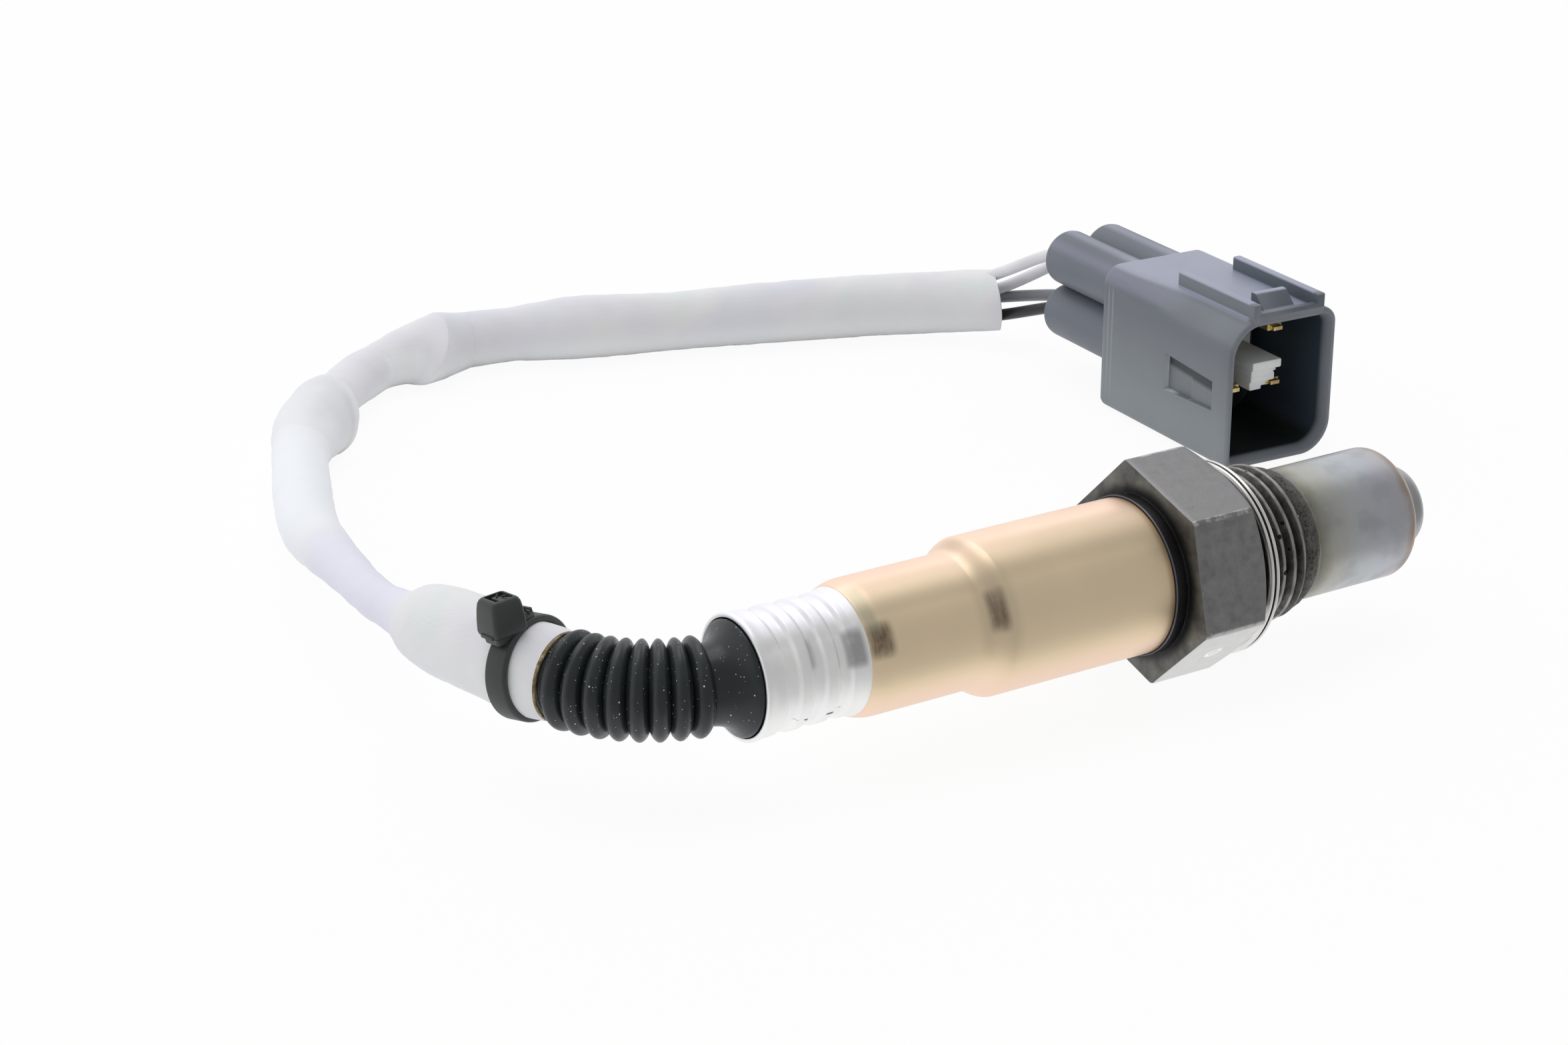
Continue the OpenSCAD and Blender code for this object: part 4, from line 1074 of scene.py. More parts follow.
@dataclass
class CrimpCollar:
    """Bright collar with three rolled crimps and a rolled rim."""

    radius: float = 6.7
    wall: float = 0.45
    depth: float = 0.45
    first: float = 3.4
    pitch: float = 3.1
    length: float = 11.5
    crimps: int = 3
    half_width: float = 1.15
    steps: int = 90
    rim: Sequence[Pair] = ((0.05, -0.3), (0, -0.15), (0.06, 0.06), (0.2, 0.14), (0.45, 0.16), (0.75, 0.1), (1.1, 0.02))
    skirt: Sequence[Pair] = ((-32.5, 6.93), (-28.5, 6.93), (-28.5, 6.5), (-32.5, 6.5))

    def fall(self, x: float) -> float:
        """Depth of the crimps at x."""
        depth = 0.0
        for k in range(self.crimps):
            away = abs(x - (RIM_X + self.first + k * self.pitch)) / self.half_width
            depth = max(depth, self.depth * (1 - ease((away - 0.42) / 0.5)))
        return depth

    def build(self, bench: Bench) -> None:
        """Turns the collar's sheet."""
        r, w = self.radius, self.wall
        xs = [mix(RIM_X + 1.5, RIM_X + self.length, k / self.steps) for k in range(self.steps + 1)]
        outline = [(RIM_X + x, r + rise) for x, rise in self.rim]
        outline += [(x, r - self.fall(x)) for x in xs]
        outline += self.skirt
        outline += [(x, r - w - self.fall(x)) for x in reversed(xs)]
        outline += [(RIM_X + 0.9, r - 0.38)]
        bm = bmesh.new()
        turned(bm, outline, 160)
        bench.piece("crimp_collar_dressed", bm, "collar", "crimp_collar", sharp=45)


@dataclass
class Boot:
    """Rubber bellows on a curved axis, with a trumpet flange in the collar's rim."""

    bend_r: float = 16.0
    length: float = 18.6
    groove: float = 4.2
    crest: float = 5.3
    ridges: int = 8
    pitch: float = 1.85
    first: float = 4.25
    sides: int = 72
    sag: float = 0.25
    bore: float = 2.9
    plug_bore: float = 3.5
    samples: int = 16
    fullness: float = 0.36
    flange: Sequence[Pair] = (
        (-1.6, 5.3), (-0.5, 5.3), (-0.45, 6.0), (-0.2, 6.18), (0.05, 6.26), (0.22, 6.24), (0.42, 6.0), (0.7, 5.6),
        (1.0, 5.25), (1.35, 4.92), (1.75, 4.66), (2.2, 4.46), (2.6, 4.36), (3.0, 4.28))

    def point(self, s: float) -> Vector:
        """Point of the boot's axis at distance s from the rim."""
        if s < 0:
            return Vector((RIM_X - s, 0, AXIS_Z))
        a = s / self.bend_r
        drop = self.sag * math.sin(math.pi * min(s / self.length, 1.0))
        return Vector((RIM_X - self.bend_r * math.sin(a), self.bend_r * (1 - math.cos(a)), AXIS_Z - drop))

    def heading(self, s: float) -> Vector:
        """Direction of the boot's axis at distance s."""
        if s < 0:
            return Vector((-1, 0, 0))
        a = s / self.bend_r
        return Vector((-math.cos(a), math.sin(a), 0))

    def profile(self) -> list[Pair]:
        """Radius along the axis: plug, flange, neck and ridges."""
        out = list(self.flange)
        start = self.first - self.pitch / 2
        for i in range(self.ridges):
            for k in range(self.samples):
                swell = (1 - math.cos(math.tau * k / self.samples)) / 2
                s = start + (i + k / self.samples) * self.pitch
                out.append((s, mix(self.groove, self.crest, swell ** self.fullness)))
        out += [(start + self.ridges * self.pitch, self.groove), (self.length - 0.25, self.groove + 0.1),
                (self.length, self.groove - 0.1)]
        return out

    def build(self, bench: Bench) -> None:
        """Sweeps the boot, hollow for the wires."""
        bm = bmesh.new()
        outer = [circle(self.point(s), self.heading(s), r, self.sides) for s, r in self.profile()]
        inner = [circle(self.point(s), self.heading(s), self.plug_bore if s < 1 else self.bore, self.sides)
                 for s in (self.length, 15, 12, 9, 6, 3, 0, -1.6)]
        skin(bm, outer + inner, caps=False, loop=True)
        bench.piece("rubber_boot_dressed", bm, "boot", "rubber_boot", sharp=50)
        self.glue(bench)

    def glue(self, bench: Bench) -> None:
        """Lays an uneven bead round the boot's end."""
        bm = bmesh.new()
        d = self.heading(self.length)
        side = UP.cross(d).normalized()
        rings = []
        for k in range(self.sides):
            a = math.tau * k / self.sides
            spoke = side * math.cos(a) + UP * math.sin(a)
            fat = 0.14 + 0.09 * noise.noise(spoke * 7)
            middle = self.point(self.length) + spoke * (self.groove + 0.42) - d * 0.12
            rings.append([middle + spoke * math.cos(b) * fat + d * math.sin(b) * fat * 1.3
                          for b in [math.tau * j / 10 for j in range(10)]])
        skin(bm, rings, caps=False, loop=True)
        bench.piece("glue_line", bm, "glue", sharp=60)


@dataclass
class WovenSleeve:
    """White woven sleeving: slack and tight stretches, creases and two folds."""

    sides: int = 48
    slant: float = 1.6
    slant_steps: int = 14
    per_span: int = 10
    per_fold_span: int = 6
    ripples: Sequence[Pair] = ((0.1, 0.35), (0.05, 0.9))
    fold_ripple: Pair = (0.16, 0.4)
    hollow: Sequence[Pair] = ((0.0, 0.5), (3.0, 0.55), (9.0, 0.7))
    stations: Sequence[Quad] = (
        (-59.7, 9.72, 12.3, 4.75), (-60.3, 11.1, 12.3, 4.95), (-61.4, 13.6, 12.3, 5.0), (-62.6, 18.4, 12.4, 5.0),
        (-63.8, 24.3, 12.2, 4.95), (-64.5, 28.3, 11.9, 4.65), (-64.9, 30.4, 11.6, 4.1), (-65.1, 32.6, 11.4, 3.2),
        (-65.2, 36.0, 11.0, 2.5), (-65.0, 42.3, 10.2, 2.35), (-63.5, 52.4, 9.2, 2.5), (-61.8, 62.9, 8.2, 3.06),
        (-59.8, 71.4, 7.2, 3.44), (-55.5, 82.8, 6.2, 3.6), (-50.3, 95.2, 5.2, 3.5), (-46.6, 103.0, 4.6, 3.7),
        (-43.0, 108.6, 4.5, 3.7), (-38.9, 112.9, 4.7, 3.5), (-34.8, 117.9, 4.5, 3.2), (-31.6, 121.9, 3.9, 3.2),
        (-28.4, 125.0, 3.6, 3.3), (-24.6, 127.9, 3.4, 3.2), (-19.8, 130.4, 3.4, 3.2), (-16.6, 131.3, 3.6, 3.4),
        (-14.6, 131.4, 3.8, 3.75), (-12.4, 131.0, 4.0, 3.95), (-8.3, 130.3, 4.0, 3.85), (-2.8, 129.0, 4.1, 3.8),
        (5.0, 125.9, 4.5, 4.4), (11.5, 123.8, 4.4, 4.3), (18.0, 122.0, 4.2, 4.1), (24.2, 119.9, 4.3, 4.15),
        (30.3, 117.8, 4.4, 4.3), (40.7, 113.9, 4.5, 4.35), (46.1, 111.6, 4.6, 4.37), (51.3, 108.7, 4.8, 4.37),
        (55.9, 105.4, 5.2, 4.37), (60.0, 101.4, 5.8, 4.35))
    folds: Sequence[Sequence[tuple[Triple, Triple, float]]] = (
        (((-48.0, 99.6, 4.85), (0.4, 0.91, -0.06), 3.3), ((-46.4, 103.2, 4.65), (0.5, 0.86, -0.05), 3.95),
         ((-44.0, 106.9, 4.65), (0.66, 0.75, -0.03), 4.5),
         ((-40.9, 110.0, 4.9), (0.88, 0.45, -0.08), 5.05), ((-39.5, 110.7, 5.0), (0.95, 0.3, -0.1), 5.3),
         ((-38.4, 111.5, 4.9), (0.95, 0.3, -0.1), 4.95), ((-37.5, 112.7, 4.8), (0.9, 0.4, -0.1), 4.1),
         ((-37.6, 113.2, 4.8), (0.85, 0.5, -0.1), 3.0)),
        (((-25.2, 127.5, 3.4), (0.88, 0.45, -0.05), 3.0), ((-21.6, 129.0, 3.7), (0.92, 0.3, -0.2), 3.55),
         ((-18.6, 129.2, 4.2), (0.9, 0.12, -0.38), 4.3),
         ((-17.0, 128.0, 4.7), (0.89, 0.07, -0.45), 4.95), ((-15.9, 128.2, 4.6), (0.92, 0.0, -0.32), 5.0),
         ((-13.0, 129.3, 4.3), (0.97, -0.15, -0.1), 4.5), ((-9.0, 130.2, 4.05), (0.97, -0.22, 0.0), 3.7)))

    def line(self) -> tuple[list[Vector], list[float]]:
        """Centre line and radius along it."""
        points = [Vector(s[:3]) for s in self.stations]
        radii = [Vector((s[3], 0, 0)) for s in self.stations]
        return curve_through(points, self.per_span), [r.x for r in curve_through(radii, self.per_span)]

    def skew(self, step: int) -> float:
        """Slant of the cut end, in millimetres, at a step before it."""
        return self.slant * ease(1 + step / self.slant_steps)

    def length(self) -> float:
        """Length of the centre line in metres."""
        middle, _ = self.line()
        return sum((b - a).length for a, b in zip(middle, middle[1:])) * MM

    def loose(self, bench: Bench) -> None:
        """Lofts the two loose folds, each over its bend."""
        bm = bmesh.new()
        for fold in self.folds:
            middles, ways, sizes = (curve_through(points, self.per_fold_span) for points in (
                [Vector(c) for c, _, _ in fold], [Vector(w).normalized() for _, w, _ in fold],
                [Vector((r, 0, 0)) for _, _, r in fold]))
            height, scale = self.fold_ripple
            rings = []
            for middle, way, size in zip(middles, ways, sizes):
                ring = circle(middle, way.normalized(), size.x, self.sides)
                for point in ring:
                    point += (point - middle).normalized() * height * noise.noise(point * scale)
                    point.z = max(point.z, FLOOR_GAP)
                rings.append(ring)
            skin(bm, rings)
        bench.piece("sleeve_folds", bm, "woven", sharp=60)

    def build(self, bench: Bench) -> bpy.types.Object:
        """Sweeps the sleeving with its open end at the plug."""
        middle, radii = self.line()
        ways_end = heading(middle, len(middle) - 1)
        near = ways_end.cross(UP).normalized()
        rings = []
        for i, (spot, radius) in enumerate(zip(middle, radii)):
            ring = circle(spot, heading(middle, i), radius, self.sides)
            shaped = []
            for point in ring:
                out = (point - spot).normalized()
                ripple = sum(height * noise.noise(point * scale) for height, scale in self.ripples)
                point = point + out * ripple * min(1.0, i / 20)
                point += self.skew(i - len(middle) + 1) * near.dot(out) * ways_end
                point.z = max(point.z, FLOOR_GAP)
                shaped.append(point)
            rings.append(shaped)
        for back, wall in self.hollow:
            ring = circle(middle[-1] - ways_end * back, ways_end, radii[-1] - wall, self.sides)
            rings.append([p + self.skew(0) * near.dot((p - middle[-1]).normalized()) * ways_end for p in ring]
                         if back == 0.0 else ring)
        bm = bmesh.new()
        skin(bm, rings)
        self.loose(bench)
        return bench.piece("woven_sleeve_dressed", bm, "woven", "woven_sleeve", sharp=60)


@dataclass
class CableTie:
    """Nylon tie: strap round the sleeve, twisted head with its slot, and cut tail."""

    along: float = 4.0
    tilt: float = 6.0
    loop: Pair = (5.5, 5.2)
    thick: float = 0.75
    width: float = 2.6
    head_len: float = 4.2
    head_w: float = 3.4
    head_y: Pair = (5.0, 8.8)
    head_at: Pair = (3.2, 0.3)
    head_turn: float = -15.0
    sleeve_way: Sequence[Triple] = ((-59.7, 9.72, 12.3), (-63, 17.2, 12.4))
    teeth: Sequence[Quad] = (
        (0.3, 1.45, -0.9, 0.3), (-0.25, 1.2, -1.0, 0.7), (-0.8, 1.62, -0.6, -0.1), (-1.05, 1.25, -1.0, 0.6),
        (-1.75, 1.35, -0.8, 0.5))
    shreds: Sequence[Quad] = (
        (-0.35, 0.22, -0.7, 0.3), (0.0, 0.1, -0.25, 0.35), (0.2, 0.26, 0.2, 0.25), (-0.15, 0.3, 0.5, 0.2),
        (-0.7, 0.12, 0.1, 0.25))

    def place(self) -> Matrix:
        """Frame of the tie: x towards the camera side, y up, z along the sleeve."""
        start, onward = map(Vector, self.sleeve_way)
        d = (onward - start).normalized()
        near = d.cross(UP).normalized() * -1
        c = start + d * self.along
        rows = [(near[k], UP[k], d[k], c[k]) for k in range(3)] + [(0, 0, 0, 1)]
        return Matrix(rows) @ Matrix.Rotation(math.radians(self.tilt), 4, "X")

    def head_place(self) -> Matrix:
        """Frame of the head, twisted about the upright."""
        return self.place() @ Matrix.Translation((self.head_at[0], 0, self.head_at[1])) @ Matrix.Rotation(
            math.radians(self.head_turn), 4, "Y")

    def strap(self, bm: BMesh) -> None:
        """Sweeps the strap's rounded section round the sleeve."""
        place = self.place()
        section = rounded([(-self.thick / 2, -self.width / 2, 0.2), (self.thick / 2, -self.width / 2, 0.3),
                           (self.thick / 2, self.width / 2, 0.3), (-self.thick / 2, self.width / 2, 0.2)], 3)
        rings = []
        for k in range(120):
            a = math.tau * k / 120
            x, y = self.loop[0] * math.cos(a), self.loop[1] * math.sin(a)
            out = Vector((x / self.loop[0] ** 2, y / self.loop[1] ** 2)).normalized()
            rings.append([place @ Vector((x + out.x * h, y + out.y * h, w)) for h, w in section])
        skin(bm, rings, caps=False, loop=True)

    def head(self, bm: BMesh) -> None:
        """Head with soft edges, tapered to its top, with a slot there and a throat below."""
        place = self.head_place()
        half, wide = self.head_len / 2, self.head_w / 2
        y0, y1 = self.head_y
        levels = [  # y, low x, high x, half width, corner radius
            (y0 - 1.05, -0.6, half - 0.9, wide - 0.75, 0.25), (y0 - 0.95, -0.8, half - 0.6, wide - 0.5, 0.35),
            (y0 - 0.3, -1.0, half - 0.45, wide - 0.4, 0.35), (y0 - 0.12, -half + 0.5, half - 0.3, wide - 0.3, 0.35),
            (y0 + 0.05, -half + 0.2, half - 0.08, wide - 0.08, 0.4), (y0 + 0.4, -half, half, wide, 0.4),
            (y0 + 1.5, -half + 0.06, half - 0.05, wide, 0.4)]
        levels += [(y1 - down, -half + low, half - high, wide - side, corner) for down, low, high, side, corner in (
            (1.2, 0.2, 0.14, 0.03, 0.45), (0.55, 0.32, 0.24, 0.08, 0.5), (0.2, 0.5, 0.4, 0.22, 0.5),
            (0.03, 0.75, 0.62, 0.42, 0.4), (0, 0.9, 0.8, 0.55, 0.3), (0.03, 1.0, 0.95, 0.62, 0.15),
            (0.9, 1.05, 1.0, 0.68, 0.12), (1.6, 1.15, 1.1, 0.75, 0.1))]
        rings = []
        for y, low, high, w, corner in levels:
            shape = rounded([(low, -w, corner), (high, -w, corner), (high, w, corner), (low, w, corner)], 4)
            rings.append([place @ Vector((x, y, z)) for x, z in shape])
        skin(bm, rings)

    def rags(self, bm: BMesh) -> None:
        """Cut end in the slot, the pawl, and the torn tail over the strap."""
        head = self.head_place()
        top = self.head_y[1]
        half = self.head_len / 2
        lean = Matrix.Rotation(math.radians(14), 4, "Z")
        block(bm, head @ lean, (0.9, top - 1.5, -0.75), (1.55, top - 0.35, 0.7), 0.1)
        block(bm, head, (-0.25, top - 1.2, -0.95), (0.55, top - 0.12, 0.6), 0.1)
        for x, rise, z, w in self.shreds:
            spin = Matrix.Translation((x, top - 0.2, z)) @ Matrix.Rotation(x * 2 + z, 4, "Z")
            block(bm, head @ spin, (-w / 2, -0.6, -w / 2), (w / 2, rise, w / 2), 0.05)
        place = self.place()
        edge = self.head_at[0] - half
        block(bm, place, (edge - 1.6, self.loop[1] + 0.3, -1.05), (edge + 0.6, self.loop[1] + 0.85, 0.95), 0.12)
        for k, (low, rise, z0, z1) in enumerate(self.teeth):
            tooth = Matrix.Translation((edge + low, self.loop[1], 0)) @ Matrix.Rotation(0.25 - 0.13 * k, 4, "Z")
            block(bm, place @ tooth, (-0.16, 0.4, z0), (0.16, rise, z1), 0.06)
        block(bm, head, (half - 1.7, self.head_y[0] - 0.15, -self.head_w / 2 + 0.5),
              (half + 0.12, self.head_y[0] + 0.28, self.head_w / 2 - 0.9), 0.1)

    def build(self, bench: Bench) -> None:
        """Builds the strap, head, cut end and tail as one mesh."""
        bm = bmesh.new()
        self.strap(bm)
        self.head(bm)
        self.rags(bm)
        bench.piece("cable_tie_dressed", bm, "tie", "cable_tie", sharp=38)


@dataclass
class Plug:
    """Moulded plug: body with its mouth, four ports, rails, latch tooth and side pocket."""

    width: float = 16.7
    height: float = 19.8
    length: float = 28.7
    port_len: float = 16.3
    port_r: float = 3.78
    port_dx: float = 3.2
    port_dz: float = 3.8
    port_z: float = 11.95
    bore_r: float = 2.6
    seal_depth: float = 9.0
    wall: float = 1.3
    depth: float = 16.0
    corners: Sequence[tuple[int, int, float]] = ((-1, 0, 1.3), (1, 0, 4.4), (1, 1, 2.2), (-1, 1, 4.9))
    near_rail: Pair = (-4.95, 16.5)
    far_rail: Pair = (5.1, 18.3)
    rail_w: float = 1.2
    rail_top: float = 21.8
    rear_corner: float = 2.6
    corner_turns: Pair = (10, 16)
    pocket_z: float = 9.4
    pocket_height: float = 5.0
    pockets: Sequence[Triple] = ((8.4, 14.0, 0.75), (3.5, 8.5, 0.5))
    bars: Sequence[tuple[Triple, Triple]] = (
        ((-2.3, 3.1, 11.5), (2.3, 15, 12.7)), ((-2.1, 3.6, 10.5), (1.5, 15, 11.7)),
        ((1.0, 3.9, 10.8), (2.1, 15, 11.3)), ((-1.9, 3.9, 9.6), (1.9, 15, 10.7)),
        ((-1.8, 4.3, 8.9), (0.9, 15, 9.8)), ((0.7, 4.6, 9.1), (1.5, 15, 9.7)), ((-1.5, 4.6, 8.3), (0.4, 15, 9.1)))

    def place(self) -> Matrix:
        """Frame of the plug: x across, y from the mouth to the rear, z up."""
        return Matrix.Translation(PLUG_PLACE) @ Matrix.Rotation(math.radians(PLUG_TURN), 4, "Z")

    def outline(self, y: float, inset: float) -> list[Vector]:
        """Ring of the body's outline at y, drawn in by an inset."""
        half = self.width / 2 - inset
        shape = []
        for side, high, radius in self.corners:
            if high and side < 0:
                radius = mix(radius, self.rear_corner, ease((y - self.corner_turns[0]) / self.corner_turns[1]))
            shape.append((side * half, self.height - inset if high else inset, max(radius - inset * 0.8, 0.4)))
        ring = divided(rounded(shape, 12), lambda one, two: 8 if math.dist(one, two) > 2.5 else 1)
        place = self.place()
        return [place @ Vector((x, y, z)) for x, z in ring]

    def body(self, bm: BMesh) -> None:
        """Lofts the body from the rear, round the rim and down into the mouth."""
        levels = [(self.length - back, inset) for back, inset in (
            (0, 0.75), (0.08, 0.4), (0.3, 0.14), (0.6, 0.02), (1.0, 0.0), (5, 0.0))]
        levels += [(y, 0.0) for y in (19, 14, 11, 8, 2.5, 0.5)]
        levels += [(0.22, 0.07), (0.05, 0.25), (0.0, 0.45), (0.04, 0.68), (0.25, 0.86), (0.8, 1.16)]
        levels += [(y, self.wall) for y in (1.4, 5, 10, self.depth - 0.2)] + [(self.depth, self.wall + 0.3)]
        skin(bm, [self.outline(y, inset) for y, inset in levels])

    def ports(self, bm: BMesh) -> None:
        """Adds the four wire ports, with the web between them."""
        place = self.place()
        back = place.to_3x3() @ Vector((0, 1, 0))
        start, end, r, bore = self.length, self.length + self.port_len, self.port_r, self.bore_r
        levels = [(start - 0.6, r + 0.08), (start - 0.05, r + 0.08), (start + 0.3, r + 0.02), (start + 4, r),
                  (end - 6, r), (end - 0.9, r), (end - 0.5, r - 0.08), (end - 0.2, r - 0.28), (end, r - 0.62),
                  (end, bore + 0.25), (end - 0.25, bore), (end - self.seal_depth, bore)]
        for sx, sz in ((-1, -1), (-1, 1), (1, -1), (1, 1)):
            skin(bm, [circle(place @ Vector((sx * self.port_dx, y, self.port_z + sz * self.port_dz)), back, radius, 56)
                      for y, radius in levels])
        block(bm, place, (-self.port_dx, self.length - 1, self.port_z - self.port_dz),
              (self.port_dx, end - 0.5, self.port_z + self.port_dz), 0.2)

    def rails_and_tooth(self, bm: BMesh) -> None:
        """Adds the two rails, the front lip between them and the sloping tooth."""
        place = self.place()
        for x, reach in (self.near_rail, self.far_rail):
            block(bm, place, (x, 0.02, self.height - 0.8), (x + self.rail_w, reach, self.rail_top), 0.22)
        block(bm, place, (self.near_rail[0] + 0.8, 0.03, self.height - 0.9),
              (self.far_rail[0] + 0.4, 1.0, self.height + 0.78), 0.18)
        shape = rounded([(1.8, self.height - 0.4, 0), (4.3, self.height + 1.9, 0.2), (5.2, self.height + 1.9, 0.2),
                         (5.2, self.height - 0.4, 0)], 3)
        skin(bm, [[place @ Vector((x, y, z)) for y, z in shape] for x in (-1.6, 3.2)])

    def pocket(self, obj: bpy.types.Object) -> None:
        """Cuts the stepped pocket into the near wall."""
        bm = bmesh.new()
        place = Matrix.Scale(MM, 4) @ self.place()
        rear = self.pockets[0][1]
        for low, high, depth in self.pockets:
            made = bmesh.ops.create_cube(bm, size=1.0)["verts"]
            bmesh.ops.scale(bm, vec=(depth + 1, high - low, self.pocket_height), verts=made)
            bmesh.ops.translate(bm, vec=((depth - 1 - self.width) / 2, (low + high) / 2, self.pocket_z), verts=made)
            for vert in made:
                vert.co.z += (vert.co.y - rear) * (POCKET_SLANT if vert.co.z > self.pocket_z else -POCKET_FALL)
            bmesh.ops.transform(bm, matrix=place, verts=made)
        tool = meshed("pocket_tool", bm)
        mesh = tool.data
        cut = obj.modifiers.new("pocket", "BOOLEAN")
        cut.operation = "DIFFERENCE"
        cut.object = tool
        cut.solver = "EXACT"
        cut.use_self = True
        graph = bpy.context.evaluated_depsgraph_get()
        result = bpy.data.meshes.new_from_object(obj.evaluated_get(graph))
        obj.modifiers.clear()
        old = obj.data
        obj.data = result
        bpy.data.meshes.remove(old)
        bpy.data.objects.remove(tool)
        bpy.data.meshes.remove(mesh)

    def build(self, bench: Bench) -> None:
        """Builds the housing and the retainer, and dresses the pins and seals."""
        bm = bmesh.new()
        self.body(bm)
        obj = bench.piece("plug_housing_dressed", bm, "plug", "plug_housing", sharp=35)
        self.pocket(obj)
        obj.data.set_sharp_from_angle(angle=math.radians(35))
        bm = bmesh.new()
        self.ports(bm)
        self.rails_and_tooth(bm)
        bench.piece("plug_ports_and_rails", bm, "plug", sharp=35)
        self.retainer(bench)
        bench.dress_node("terminal_pins", "brass")
        bench.dress_node("wire_seals", "seal")

    def retainer(self, bench: Bench) -> None:
        """Builds the white retainer: its plate across the mouth's end and the stepped bars in front of it."""
        bm = bmesh.new()
        place = self.place()
        block(bm, place, (-6, self.depth - 1.4, 5.2), (6, self.depth - 0.02, 17.8), 0.3)
        for low, high in self.bars:
            block(bm, place, low, high, 0.22)
        bench.piece("terminal_retainer_dressed", bm, "retainer", "terminal_retainer", sharp=40)


@dataclass
class Wires:
    """Four insulated wires, from their crimps through the boot, and from the sleeve to the plug."""

    boot: Boot
    plug: Plug
    sleeve: WovenSleeve
    radius: float = 0.95
    bare_r: float = 0.82
    ring_r: float = 1.45
    grommet_r: float = 2.4
    plug_end: float = 31.6
    pull_out: float = 0.9
    pull_in: float = 0.6
    steps: int = 24

    def inside(self, bm: BMesh, sy: int, sz: int) -> None:
        """Stretch from the crimp through the grommet and the boot."""
        turn = math.atan2(sz, sy)
        spot = self.grommet_r / math.sqrt(2)
        line = [Vector((x, sy * spot, AXIS_Z + sz * spot)) for x in (-29.2, -36, -43.2)]
        for s in (-1.4, 0, 2, 5, 8, 11, 14, 17, 18.55):
            d = self.boot.heading(s)
            side = Vector((d.y, -d.x, 0))
            reach = self.grommet_r if s < 0 else mix(self.grommet_r, self.ring_r, min((s + 0.5) / 2.6, 1.0))
            line.append(self.boot.point(s) + (side * math.cos(turn) + UP * math.sin(turn)) * reach)
        skin(bm, [circle(p, heading(line, i), self.radius, 16) for i, p in enumerate(line)])

    def outside(self, bm: BMesh, sx: int, sz: int, leave: Pair, wave: float) -> None:
        """Stretch from the sleeve's end into the plug's port."""
        middle, _ = self.sleeve.line()
        way = heading(middle, len(middle) - 1)
        side = UP.cross(way).normalized()
        up = way.cross(side)
        place = self.plug.place()
        port = (sx * self.plug.port_dx, self.plug.port_z + sz * self.plug.port_dz)
        a = middle[-1] - way * 4 + side * leave[0] + up * leave[1]
        b = place @ Vector((port[0], self.plug.length + self.plug.port_len, port[1]))
        b_in = place @ Vector((port[0], self.plug_end, port[1]))
        into = (b_in - b).normalized()
        reach = (b - a).length
        line = []
        for k in range(self.steps + 1):
            t = k / self.steps
            line.append(a.lerp(b, ease(t)) + way * reach * self.pull_out * t * (1 - t) ** 2
                        - into * reach * self.pull_in * t * t * (1 - t) + UP * wave * math.sin(math.pi * t))
        line.append(b_in)
        skin(bm, [circle(p, heading(line, i), self.bare_r, 20) for i, p in enumerate(line)])

    def build(self, bench: Bench) -> None:
        """Builds the four wires."""
        for node, finish, corner, leave, wave in (
                ("wire_white_upper", "white_wire", (-1, 1), (0.2, 2.9), 0.3),
                ("wire_white_lower", "white_wire", (1, 1), (1.2, 0.5), 0.1),
                ("wire_grey", "grey_wire", (1, -1), (1.8, -0.3), 0.2),
                ("wire_black", "black_wire", (-1, -1), (-0.6, -2.2), -0.3)):
            bm = bmesh.new()
            self.inside(bm, *corner)
            self.outside(bm, *corner, leave, wave)
            bench.piece(node + "_dressed", bm, finish, node, sharp=50)


@dataclass
class Inner:
    """Inner pieces, which stay the CAD's own solids."""

    finishes: dict[str, str] = field(default_factory=lambda: {
        "sensing_element": "ceramic", "lower_ceramic_bush": "ceramic", "powder_seal": "ceramic",
        "upper_ceramic_bush": "ceramic", "contact_holder": "ceramic", "clamp_spring": "spring",
        "contact_springs": "brass", "wire_crimps": "brass", "seal_grommet": "grommet"})

    def build(self, bench: Bench) -> None:
        """Dresses each inner node."""
        for node, finish in self.finishes.items():
            bench.dress_node(node, finish)


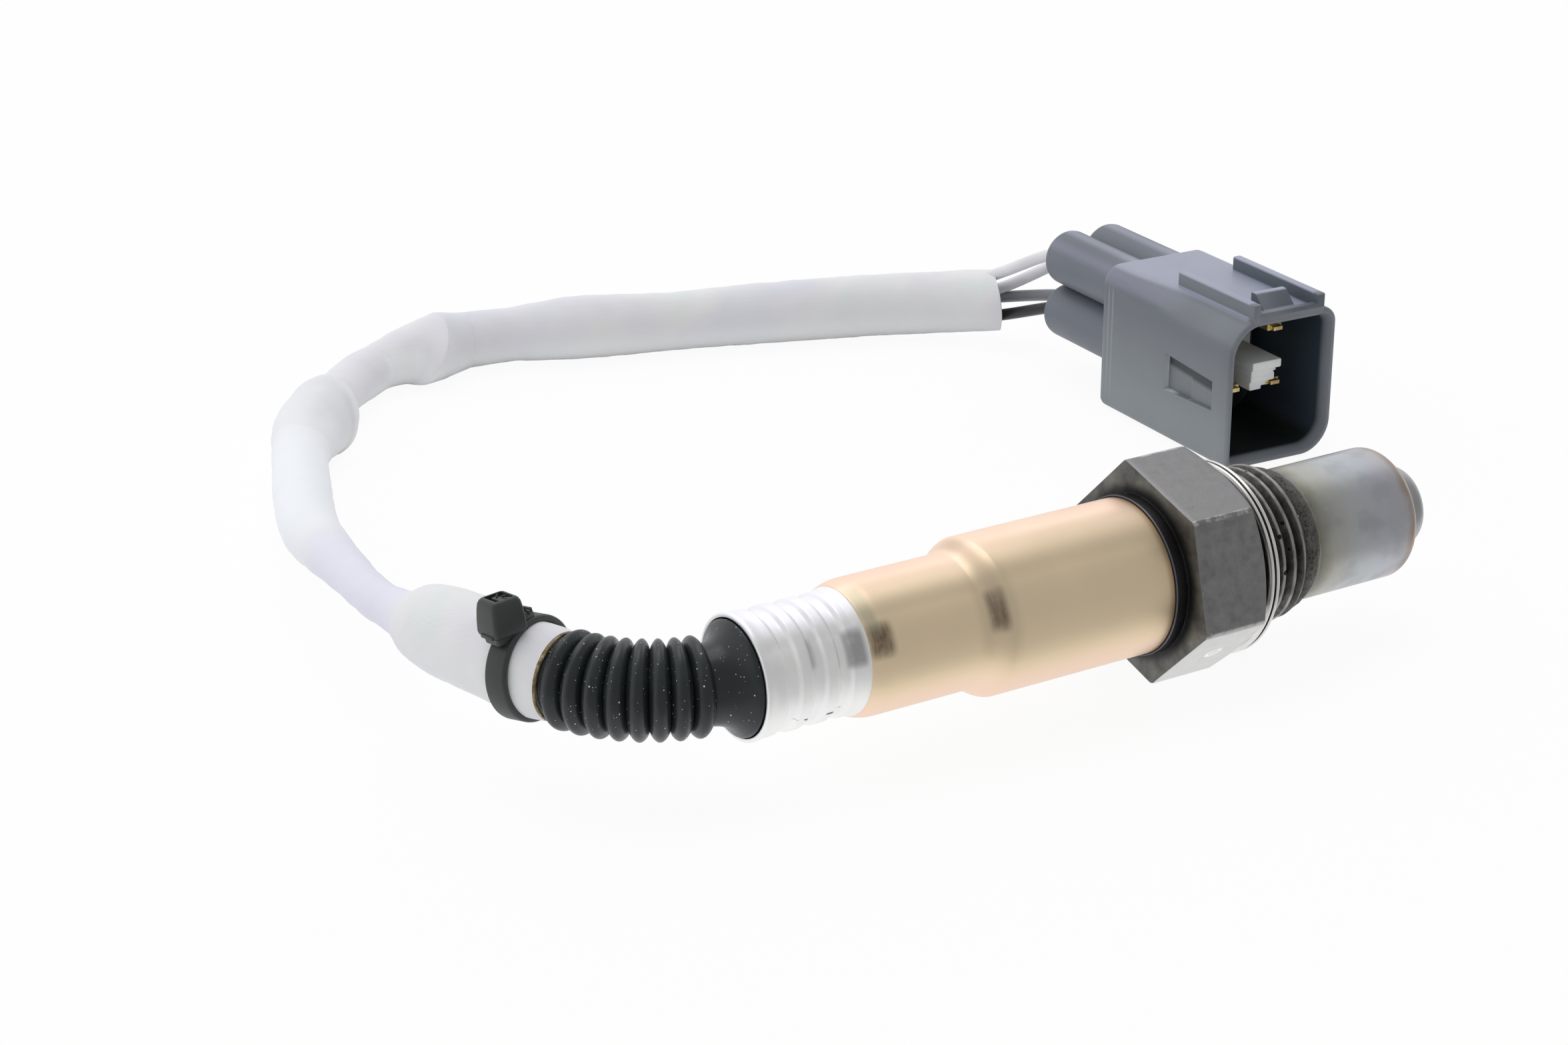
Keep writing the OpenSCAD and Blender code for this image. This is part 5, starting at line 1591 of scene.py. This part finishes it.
@dataclass
class Studio:
    """Camera, floor, world and lamp."""

    eye: Triple = (-0.20453, -0.26456, 0.15559)
    aim: Triple = (0.4913, 0.7847, -0.3780)
    lens: float = 76.53
    dark_side: Triple = (0.15, -0.96, 0.22)
    dim_way: Pair = (-0.15, 0.5)
    dim_level: float = 0.48
    floor_r: float = 4.0
    floor_drop: float = 0.0002
    floor_glow: float = 0.93
    front: Pair = (-28.0, -8.0)
    front_level: float = 0.5
    lamp_at: Triple = (0.05, 0.25, 0.7)
    lamp_size: Pair = (0.6, 0.5)
    lamp_power: float = 1.1

    def camera(self) -> None:
        """Sets the camera at the photograph's place."""
        data = bpy.data.cameras.new("camera")
        data.lens = self.lens
        data.sensor_width = 36
        data.clip_start = 0.01
        data.clip_end = 20
        camera = in_scene("camera", data)
        camera.location = self.eye
        camera.rotation_euler = Vector(self.aim).to_track_quat("-Z", "Y").to_euler()
        bpy.context.scene.camera = camera

    def at_least_seen(self, desk: Desk, level: Socket) -> Socket:
        """A level of light, but 1 for camera rays."""
        return desk.math("MAXIMUM", level, desk.add("ShaderNodeLightPath").outputs["Is Camera Ray"])

    def seen(self, desk: Desk) -> Socket:
        """1 for camera, glossy and transmission rays."""
        rays = desk.add("ShaderNodeLightPath")
        both = desk.math("MAXIMUM", rays.outputs["Is Camera Ray"], rays.outputs["Is Glossy Ray"])
        return desk.math("MAXIMUM", both, rays.outputs["Is Transmission Ray"])

    def floor(self) -> None:
        """White floor that keeps a faint shadow."""
        bm = bmesh.new()
        bmesh.ops.create_circle(bm, cap_ends=True, radius=self.floor_r, segments=64)
        bmesh.ops.translate(bm, vec=(0, 0, -self.floor_drop), verts=bm.verts)
        floor = meshed("floor", bm)
        material = bpy.data.materials.new("floor_white")
        material.use_nodes = True
        desk = Desk(material.node_tree)
        shader = material.node_tree.nodes["Principled BSDF"]
        set_plain(shader, Base_Color=(0.95, 0.95, 0.95, 1), Roughness=0.9, Specular_IOR_Level=0.1)
        glow = desk.add("ShaderNodeEmission")
        _, y, _ = desk.split(desk.place())
        desk.put(glow.inputs["Strength"], self.at_least_seen(desk, desk.between(y, *self.front, self.front_level)))
        mixer = desk.fed("ShaderNodeMixShader", desk.product(self.seen(desk), self.floor_glow), shader.outputs[0],
                         glow.outputs[0])
        desk.put(material.node_tree.nodes["Material Output"].inputs[0], mixer.outputs[0])
        floor.data.materials.append(material)

    def world(self) -> None:
        """White surroundings, dimmer where the camera stands."""
        world = bpy.data.worlds.new("studio")
        world.use_nodes = True
        bpy.context.scene.world = world
        desk = Desk(world.node_tree)
        way = desk.add("ShaderNodeTexCoord").outputs["Generated"]
        dot = desk.fed("ShaderNodeVectorMath", way, Vector(self.dark_side).normalized(), operation="DOT_PRODUCT")
        level = desk.between(dot.outputs["Value"], *self.dim_way, 1.0, self.dim_level)
        background = world.node_tree.nodes["Background"]
        background.inputs[0].default_value = (1, 1, 1, 1)
        desk.put(background.inputs[1], self.at_least_seen(desk, level))

    def lamp(self) -> None:
        """One soft overhead lamp, a little behind the object."""
        data = bpy.data.lights.new("softbox", "AREA")
        data.shape = "RECTANGLE"
        data.size, data.size_y = self.lamp_size
        data.energy = self.lamp_power
        lamp = in_scene("softbox", data)
        lamp.location = self.lamp_at
        lamp.rotation_euler = (Vector((0, 0.04, 0)) - lamp.location).to_track_quat("-Z", "Y").to_euler()

    def build(self) -> None:
        """Sets up everything round the object."""
        self.camera()
        self.floor()
        self.world()
        self.lamp()
        bpy.context.scene.view_settings.view_transform = "Standard"


def main() -> None:
    """Builds and dresses the whole part."""
    logging.basicConfig(level=logging.INFO, format="%(message)s")
    Studio().build()
    bench = Bench(Finishes())
    boot, plug, sleeve = Boot(), Plug(), WovenSleeve()
    lead = sleeve.build(bench)
    boot.build(bench)
    CableTie().build(bench)
    plug.build(bench)
    Wires(boot, plug, sleeve).build(bench)
    middle, _ = sleeve.line()
    sleeve.length()
    Shell().build(bench)
    Gasket().build(bench)
    Tubes().build(bench)
    ShieldSleeve().build(bench)
    CrimpCollar().build(bench)
    Inner().build(bench)


if __name__ == "__main__":
    main()
